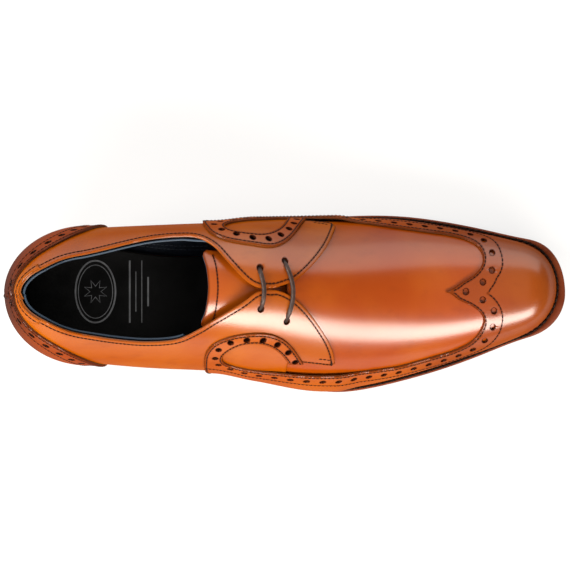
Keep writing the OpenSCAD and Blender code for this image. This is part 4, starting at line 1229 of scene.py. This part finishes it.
def sole_line():
    back = np.array([[HEEL_BACK + 1, 0.0]])
    tip = np.array([[SHOE_LENGTH, 0.6]])
    line = np.concatenate([back, sole_side(LATERAL), tip, sole_side(MEDIAL)[::-1]])
    return plan_spaced(line, 1.5)


SLAB_GRID = 5.0


def slab(name, line, profile, low, high, material, replaces):
    """A flat layer: the outline's profile from bottom to top as (inset, height from 0 to 1), between two
    height functions of x."""
    n = len(line)
    verts = []
    for inset, t in profile:
        ring = inward(line, inset)
        verts.append(np.column_stack([ring, mix(low(ring[:, 0]), high(ring[:, 0]), t)]))
    faces = [(k * n + i, k * n + (i + 1) % n, (k + 1) * n + (i + 1) % n, (k + 1) * n + i)
             for k in range(len(profile) - 1) for i in range(n)]
    count = n * len(profile)
    for start, height, up in ((0, low, False), (count - n, high, True)):
        ring = verts[start // n][:, :2]
        box_low, box_high = ring.min(0), ring.max(0)
        steps = [np.arange(box_low[k], box_high[k], SLAB_GRID) for k in (0, 1)]
        grid = np.stack(np.meshgrid(*steps), -1).reshape(-1, 2)
        grid = grid[inside(grid, inward(ring, SLAB_GRID * 0.4))]
        flat = [tuple(p) for p in np.concatenate([ring, grid])]
        co, _, tris, sources, _, _ = delaunay_2d_cdt(flat, [(i, (i + 1) % n) for i in range(n)], [], 1, 1e-5)
        index, extra = {}, []
        for i, source in enumerate(sources):
            if source and source[0] < n:
                index[i] = start + source[0]
            else:
                index[i] = count + len(extra)
                extra.append([co[i][0], co[i][1], float(height(co[i][0]))])
        if extra:
            verts.append(np.array(extra))
            count += len(extra)
        for f in tris:
            a, b, c = (co[k] for k in f[:3])
            left = (b[0] - a[0]) * (c[1] - a[1]) - (b[1] - a[1]) * (c[0] - a[0]) > 0
            f = [index[k] for k in f]
            faces.append(tuple(f if left == up else f[::-1]))
    return add_mesh(name, np.concatenate(verts), faces, material, replaces=replaces, sharp=35)


def sole_at(height):
    return lambda x: along(SOLE_LOW, x) + height


def level(height):
    return lambda x: np.zeros(np.shape(x)) + height


def anticlockwise(line):
    return line if Sheet.area(line) > 0 else line[::-1]


outer_line = anticlockwise(sole_line())
OUTSOLE_PROFILE = [(1.6, 0.0), (0.7, 0.05), (0.25, 0.2), (0.05, 0.45), (0, 0.7), (0.12, 0.92), (0.4, 1.0)]
slab("outsole_leather", outer_line, OUTSOLE_PROFILE, sole_at(0), sole_at(OUTSOLE_T), sole_edge, ["outsole"])

BREAST_RADIUS, BREAST_HOLLOW = 52.0, 4.0
breast_centre = HEEL_BREAST + BREAST_RADIUS - BREAST_HOLLOW


def heel_outline(inset):
    """The heel's outline in plan: the sole's edge, and a hollow breast in front."""
    line = inward(outer_line, inset)
    front = breast_centre - np.sqrt(BREAST_RADIUS**2 - np.clip(line[:, 1], -50, 50)**2)
    back = line[line[:, 0] < front - 0.8]
    turn = np.arctan2(back[:, 1], back[:, 0] - 40)
    back = back[np.argsort(np.mod(turn, 2 * math.pi))]
    split = np.argmax(np.linalg.norm(np.roll(back, -1, 0) - back, axis=1)) + 1
    back = np.roll(back, -split, 0)
    y = np.linspace(back[-1][1], back[0][1], 24)[1:-1]
    breast = np.stack([breast_centre - np.sqrt(BREAST_RADIUS**2 - y**2), y], -1)
    return anticlockwise(plan_spaced(np.concatenate([back, breast]), 1.5))


TOP_PIECE_T, LIFT_T = 6.0, 6.2
LIFT_PROFILE = [(0.3, 0.0), (0.03, 0.06), (0, 0.5), (0.03, 0.94), (0.3, 1.0)]
TOP_PIECE_PROFILE = [(0.9, 0.0), (0.2, 0.12), (0, 0.4), (0, 0.9), (0.15, 1.0)]
slab("top_piece_rubber", heel_outline(0.9), TOP_PIECE_PROFILE, level(0.0), level(TOP_PIECE_T - 0.05),
     top_rubber, ["top_piece"])
for k in range(3):
    low = TOP_PIECE_T + k * LIFT_T
    high = level(low + LIFT_T - 0.04) if k < 2 else sole_at(-0.04)
    slab("heel_lift_%d_leather" % (k + 1), heel_outline(0.7), LIFT_PROFILE, level(low), high, heel_leather,
         ["heel_lift_%d" % (k + 1)])

# The welt and the heel rand fill from the sole's edge to under the upper. shown_width is how far in
# from the sole's edge the upper's widest line stands.
belly = []
for chart, outs, low_c, high_c in ((toe_chart, wing_out, l_edge["low"][0][0], m_edge["low"][0][0]),
                                   (heel_chart, quarter_out, -150, 150)):
    c = np.arange(low_c, high_c, 0.7)
    for v in (5.0, 7.5, 10.0):
        level_v = np.full(len(c), v)
        belly.append(chart.raised(c, level_v, outs(chart.at(c, level_v)[:, 0], level_v)))
belly = np.concatenate(belly)[:, :2]
belly_tree = tree_of([(x, y, 0) for x, y in belly])
ahead = unit(np.roll(outer_line, -1, 0) - np.roll(outer_line, 1, 0))
inwards = np.stack([-ahead[:, 1], ahead[:, 0]], -1)
nearest = np.array([belly[belly_tree.find((x, y, 0))[1]] for x, y in outer_line])
shown_width = ((nearest - outer_line) * inwards).sum(1)
for _ in range(10):
    shown_width = (np.roll(shown_width, 1) + shown_width + np.roll(shown_width, -1)) / 3
groove_at = np.maximum(shown_width - 1.6, 1.6)


def seat(name, keep, material, replaces):
    """A band of the welt's section round the part of the sole's edge that keep picks. Returns the line
    of its stitch groove."""
    n = len(outer_line)
    first = np.flatnonzero(~keep)[-1] + 1 if keep[0] and keep[-1] else np.flatnonzero(keep)[0]
    order = [(first + i) % n for i in range(keep.sum())]
    g, base, to_inside = groove_at[order], outer_line[order], inwards[order]
    section = [(0.5, 0.0), (0.08, 0.3), (0.0, 1.0), (0.0, 1.9), (0.2, 2.5), (0.6, 2.88), (g * 0.55, 3.08),
               (g - 0.75, 2.96), (g - 0.5, 2.68), (g + 0.45, 2.62), (g + 0.7, 2.86), (g + 1.2, 2.94),
               (g + 9, 2.94), (g + 9, 0.0)]
    rings = []
    for inset, z in section:
        p = base + to_inside * np.broadcast_to(inset, len(order))[:, None]
        rings.append(np.column_stack([p, along(SOLE_LOW, p[:, 0]) + OUTSOLE_T + z + 0.02]))
    verts = np.stack(rings, 1)
    k, m = len(section), len(order)
    faces = [(i * k + j, (i + 1) * k + j, (i + 1) * k + (j + 1) % k, i * k + (j + 1) % k)
             for i in range(m - 1) for j in range(k)]
    faces += [tuple(range(k)), tuple((m - 1) * k + j for j in reversed(range(k)))]
    add_mesh(name, verts.reshape(-1, 3), faces, material, replaces=replaces, sharp=50)
    line = base + to_inside * g[:, None]
    return np.column_stack([line, along(SOLE_LOW, line[:, 0]) + OUTSOLE_T + 2.7])


welt_groove = seat("welt_strip", outer_line[:, 0] > HEEL_BREAST + 4, welt_leather, ["welt"])
seat("heel_rand_strip", outer_line[:, 0] < HEEL_BREAST + 4.6, heel_leather, ["heel_rand"])
WELT_PITCH, WELT_THREAD = 3.5, 0.75
s = lengths_along(welt_groove)
marks = np.linspace(0, s[-1], round(s[-1] / WELT_PITCH))
spots = np.stack([np.interp(marks, s, welt_groove[:, k]) for k in range(3)], -1)
a, b = mix(spots[:-1], spots[1:], 0.16), mix(spots[:-1], spots[1:], 0.84)
up = np.array([0, 0, 1.0])
middle = (a + b) / 2 + up * 0.35
welt_pile = Pile()
welt_pile.add(*capsules((a - up * 0.05, middle), WELT_THREAD))
welt_pile.add(*capsules((middle, b - up * 0.05), WELT_THREAD))
welt_pile.piece("welt_stitches", welt_thread)

# Sock, with a plain stamped emblem in dull silver foil: an eight-point star in a double oval ring, and
# four bars.
TOE_RUN = 285
runs = joined(np.linspace(1, HEEL_RUN, 24), np.arange(HEEL_RUN + 3, TOE_RUN, 3),
              TOE_RUN + (FRONT_RUN - TOE_RUN - 0.2) * np.sin(np.linspace(0.1, math.pi / 2, 14)))
lateral_line, medial_line = (last_point(side, runs, 0)[:, :2] for side in (LATERAL, MEDIAL))
last_line = anticlockwise(plan_spaced(joined(lateral_line, medial_line[::-1]), 2.0))
SOCK_LOW, SOCK_TOP = BASE_T + 3.1, BASE_T + 4.4
slab("sock_leather_pad", inward(last_line, 0.1), [(0.3, 0), (0, 0.5), (0.4, 1.0)], sole_at(SOCK_LOW),
     sole_at(SOCK_TOP), sock_leather, ["sock_lining"])
foil_pile = Pile()


def foil_line(points, width, closed=False):
    """A flat stroke of foil on the sock."""
    p = np.asarray(points, float)
    ahead = unit(np.roll(p, -1, 0) - np.roll(p, 1, 0)) if closed else unit(np.gradient(p, axis=0))
    side_way = np.stack([-ahead[:, 1], ahead[:, 0]], -1) * width / 2
    n = len(p)
    verts = np.concatenate([np.column_stack([r, along(SOLE_LOW, r[:, 0]) + SOCK_TOP + z])
                            for z in (0.04, -0.1) for r in (p + side_way, p - side_way)])
    faces = []
    for i in range(n if closed else n - 1):
        j = (i + 1) % n
        tl, tr, bl, br = i, n + i, 2 * n + i, 3 * n + i
        tl2, tr2, bl2, br2 = j, n + j, 2 * n + j, 3 * n + j
        faces += [(tl, tr, tr2, tl2), (bl, bl2, br2, br), (tl, tl2, bl2, bl), (tr, br, br2, tr2)]
    if not closed:
        faces += [(0, 2 * n, 3 * n, n), (n - 1, 2 * n - 1, 4 * n - 1, 3 * n - 1)]
    foil_pile.add(verts, faces)


EMBLEM = np.array([47.0, 1.0])
turns = circle(48)
for radius, width in ((13.5, 0.9), (11.6, 0.4)):
    foil_line(EMBLEM + radius * np.stack([0.8 * np.cos(turns), 1.25 * np.sin(turns)], -1), width, True)
turns = circle(16)
star_r = 6.5 * np.where(np.arange(16) % 2, 1.0, 0.45)
foil_line(EMBLEM + star_r[:, None] * np.stack([np.cos(turns), np.sin(turns)], -1), 0.5, True)
for x, half, width in ((65.5, 17.0, 0.9), (68.8, 11.0, 0.5), (72.0, 17.0, 0.5), (75.4, 8.0, 0.9)):
    foil_line(np.stack([np.full(24, x), np.linspace(-half, half, 24) + EMBLEM[1]], -1), width)
foil_pile.piece("sock_emblem", foil)

# Nails in the heel's top piece.
TOP_NAILS = [[11, -7], [11, 7], [22, -17], [22, 16], [38, -22], [38, 20], [56, -22], [56, 20]]


def lathed(start, axes, profile, sides=20):
    """Verts and faces of a turned shape along the last of three axes, its profile as (radius, distance)."""
    angle = circle(sides)[:, None]
    round_way = np.cos(angle) * axes[0] + np.sin(angle) * axes[1]
    verts = np.concatenate([start + axes[2] * z + r * round_way for r, z in profile])
    return verts, tube_faces(len(profile), sides)


def tube_faces(rings, sides):
    """The faces of a closed tube of rings, one after another."""
    faces = []
    for k in range(0, (rings - 1) * sides, sides):
        for i in range(sides):
            n = (i + 1) % sides
            faces.append((k + i, k + n, k + sides + n, k + sides + i))
    return faces + [tuple(reversed(range(sides))), tuple((rings - 1) * sides + i for i in range(sides))]


NAIL_PROFILE = [(1.3, -0.02), (1.75, 0.1), (1.8, 0.9), (0.85, 1.2), (0.85, 9.0)]
nails = Pile()
for x, y in TOP_NAILS:
    nails.add(*lathed(np.array([x, y, 0.0]), np.eye(3), NAIL_PROFILE))
nails.piece("top_piece_brass_nails", nail_brass, replaces=["top_piece_nails"])

# ---- Lace ----

LACE_ROUTE = [
    [80, -15, 16.5], [66, -18, 15.5], [50, -21, 14.8], [34, -23, 14.8], [18, -25, 15.8], [2, -26, 17.8],
    [-13, -26.5, 21.5], [-25, -26, 29], [-30.5, -25, 39], [-31, -23, 50], [-29, -20, 61],
    [-25, -16.5, 70], [-21, -12, 76], [-18, -6, 80], [-15, -1.5, 84.3], [-13.5, 2.5, 87.8],
    [-13, 9, 88.6], [-14.5, 16, 88], [-15.7, 19.2, 84.5], [-15.5, 22.5, 80.3], [-13, 25.5, 77.8],
    [-9, 26.5, 76], [-5, 25.5, 75.2], [-2.8, 22.8, 78.4], [-0.9, 19.5, 82.2], [0.9, 14.5, 82.8],
    [2.1, 8.5, 82.7],
    [1.8, 2.5, 82.3], [0.2, -3.7, 81.4], [-1.8, -8, 77.5], [-4, -12, 72.5], [-6.5, -16.5, 67],
    [-8, -19.5, 58], [-8, -21, 47], [-5, -21.5, 36], [2, -20.5, 26], [12, -18, 19.5], [24, -14.5, 16],
    [38, -10.5, 14.8], [54, -6.5, 14.8]]
LACE_D = 2.4
AGLET_LENGTH = 13.0
BRAID_TURN = 4.2


def spline(points, per_leg):
    p = np.asarray(points, float)
    line = []
    for i in range(len(p) - 1):
        a, b, c, d = p[max(i - 1, 0)], p[i], p[i + 1], p[min(i + 2, len(p) - 1)]
        for t in np.arange(per_leg) / per_leg:
            line.append(0.5 * (2 * b + (c - a) * t + (2 * a - 5 * b + 4 * c - d) * t**2
                               + (3 * b - a - 3 * c + d) * t**3))
    return np.array(line + [p[-1]])


def tube(path, radius, sides):
    """Verts, faces and a braid value of a tube whose surface carries two crossing sets of strands."""
    ahead = unit(np.gradient(path, axis=0))
    side_way = [unit(np.cross(ahead[0], [0, 1.0, 0.3]))]
    for d in ahead[1:]:
        v = side_way[-1] - d * (side_way[-1] @ d)
        side_way.append(v / np.linalg.norm(v))
    u = np.array(side_way)
    w = np.cross(ahead, u)
    s = lengths_along(path)[:, None]
    angle = circle(sides)
    strands = [0.5 + 0.5 * np.cos(4 * angle[None, :] + turn * s * BRAID_TURN) for turn in (1, -1)]
    braid = np.maximum(*strands)
    r = radius * (0.94 + 0.07 * braid)
    angle = angle[None, :, None]
    verts = path[:, None] + r[..., None] * (u[:, None] * np.cos(angle) + w[:, None] * np.sin(angle))
    return verts.reshape(-1, 3), tube_faces(len(path), sides), braid.ravel()


lace_path = spline(LACE_ROUTE, 22) - ORIGIN
verts, faces, braid = tube(lace_path, LACE_D / 2, 20)
lace = add_mesh("lace_cord", verts, faces, lace_cotton, replaces=["lace"], sharp=60, values={"braid": braid})
AGLET_PROFILE = [(1.14, 0.0), (1.26, 0.3), (1.26, AGLET_LENGTH - 1.2), (1.05, AGLET_LENGTH - 0.4),
                 (0.6, AGLET_LENGTH)]
aglet_pile = Pile()
for end, behind in ((lace_path[0], lace_path[3]), (lace_path[-1], lace_path[-4])):
    way = unit(end - behind)
    across = unit(np.cross(way, [0, 0, 1.0]))
    aglet_pile.add(*lathed(end + way * 0.05, (across, np.cross(way, across), way), AGLET_PROFILE))
aglets = aglet_pile.piece("aglet_tips", aglet_plastic, replaces=["aglets"])

# Parts that nothing on the outside shows keep their CAD shape.
HIDDEN = {"vamp_lining": vamp_cloth, "counter_stiffener": stiffener, "toe_puff": stiffener,
          "facing_stay_lateral": stay_leather, "facing_stay_medial": stay_leather,
          "blind_eyelets": eyelet_steel, "shank": steel, "cork_filler": cork, "insole_rib": rib_canvas,
          "heel_nails": steel, "insole": insole_leather}
for name, material in HIDDEN.items():
    piece = bpy.data.objects[name]
    piece.data.materials.clear()
    piece.data.materials.append(material)

# ---- Floor, light and camera ----

bpy.ops.mesh.primitive_plane_add(size=8, location=(0, 0, 0))
floor = bpy.context.object
floor.name = "floor"
paper = plain("floor_paper", (0.16, 0.16, 0.16), (0.17, 0.17, 0.17), (0.85, 0.9), 3, 50, 0.00001,
              Emission_Color=(1, 1, 1), Emission_Strength=0.74, Specular_IOR_Level=0.1)
floor.data.materials.append(paper)


def softbox(name, place, aim, size, power, color=(1, 1, 1)):
    lamp = bpy.data.lights.new(name, "AREA")
    lamp.shape = "RECTANGLE"
    lamp.size, lamp.size_y = size
    lamp.energy = power
    lamp.color = color
    holder = bpy.data.objects.new(name, lamp)
    bpy.context.scene.collection.objects.link(holder)
    holder.location = place
    way = np.array(aim, float) - np.array(place, float)
    flat = math.hypot(way[0], way[1])
    holder.rotation_euler = (math.atan2(flat, -way[2]), 0, math.atan2(way[1], way[0]) - math.pi / 2)
    return holder


lights = [softbox("lateral_box", (0.08, -0.95, 0.82), (0.04, 0, 0.04), (2.2, 0.52), 60, (1.0, 0.93, 0.84)),
          softbox("top_box", (0, 0.1, 1.6), (0, 0, 0), (2.0, 2.0), 3.5, (1.0, 0.95, 0.88)),
          softbox("back_box", (-1.1, 0.05, 0.9), (0, 0, 0.03), (0.7, 0.7), 26, (1.0, 0.93, 0.84)),
          softbox("medial_box", (0.05, 0.95, 0.52), (0.03, 0, 0.03), (2.8, 1.1), 20, (1.0, 0.94, 0.88))]
world = bpy.data.worlds.new("studio")
world.use_nodes = True
sky = world.node_tree.nodes["Background"]
sky.inputs["Color"].default_value = (1, 1, 1, 1)
sky.inputs["Strength"].default_value = 0.1
bpy.context.scene.world = world

CAMERA_PLACE = (-0.0019, 0.0106, 1.1)
LENS, SENSOR = 122.9, 36.0
eye = bpy.data.cameras.new("camera")
eye.lens, eye.sensor_width = LENS, SENSOR
camera = bpy.data.objects.new("camera", eye)
camera.location = CAMERA_PLACE
bpy.context.scene.collection.objects.link(camera)
bpy.context.scene.camera = camera
bpy.context.scene.view_settings.view_transform = "Standard"
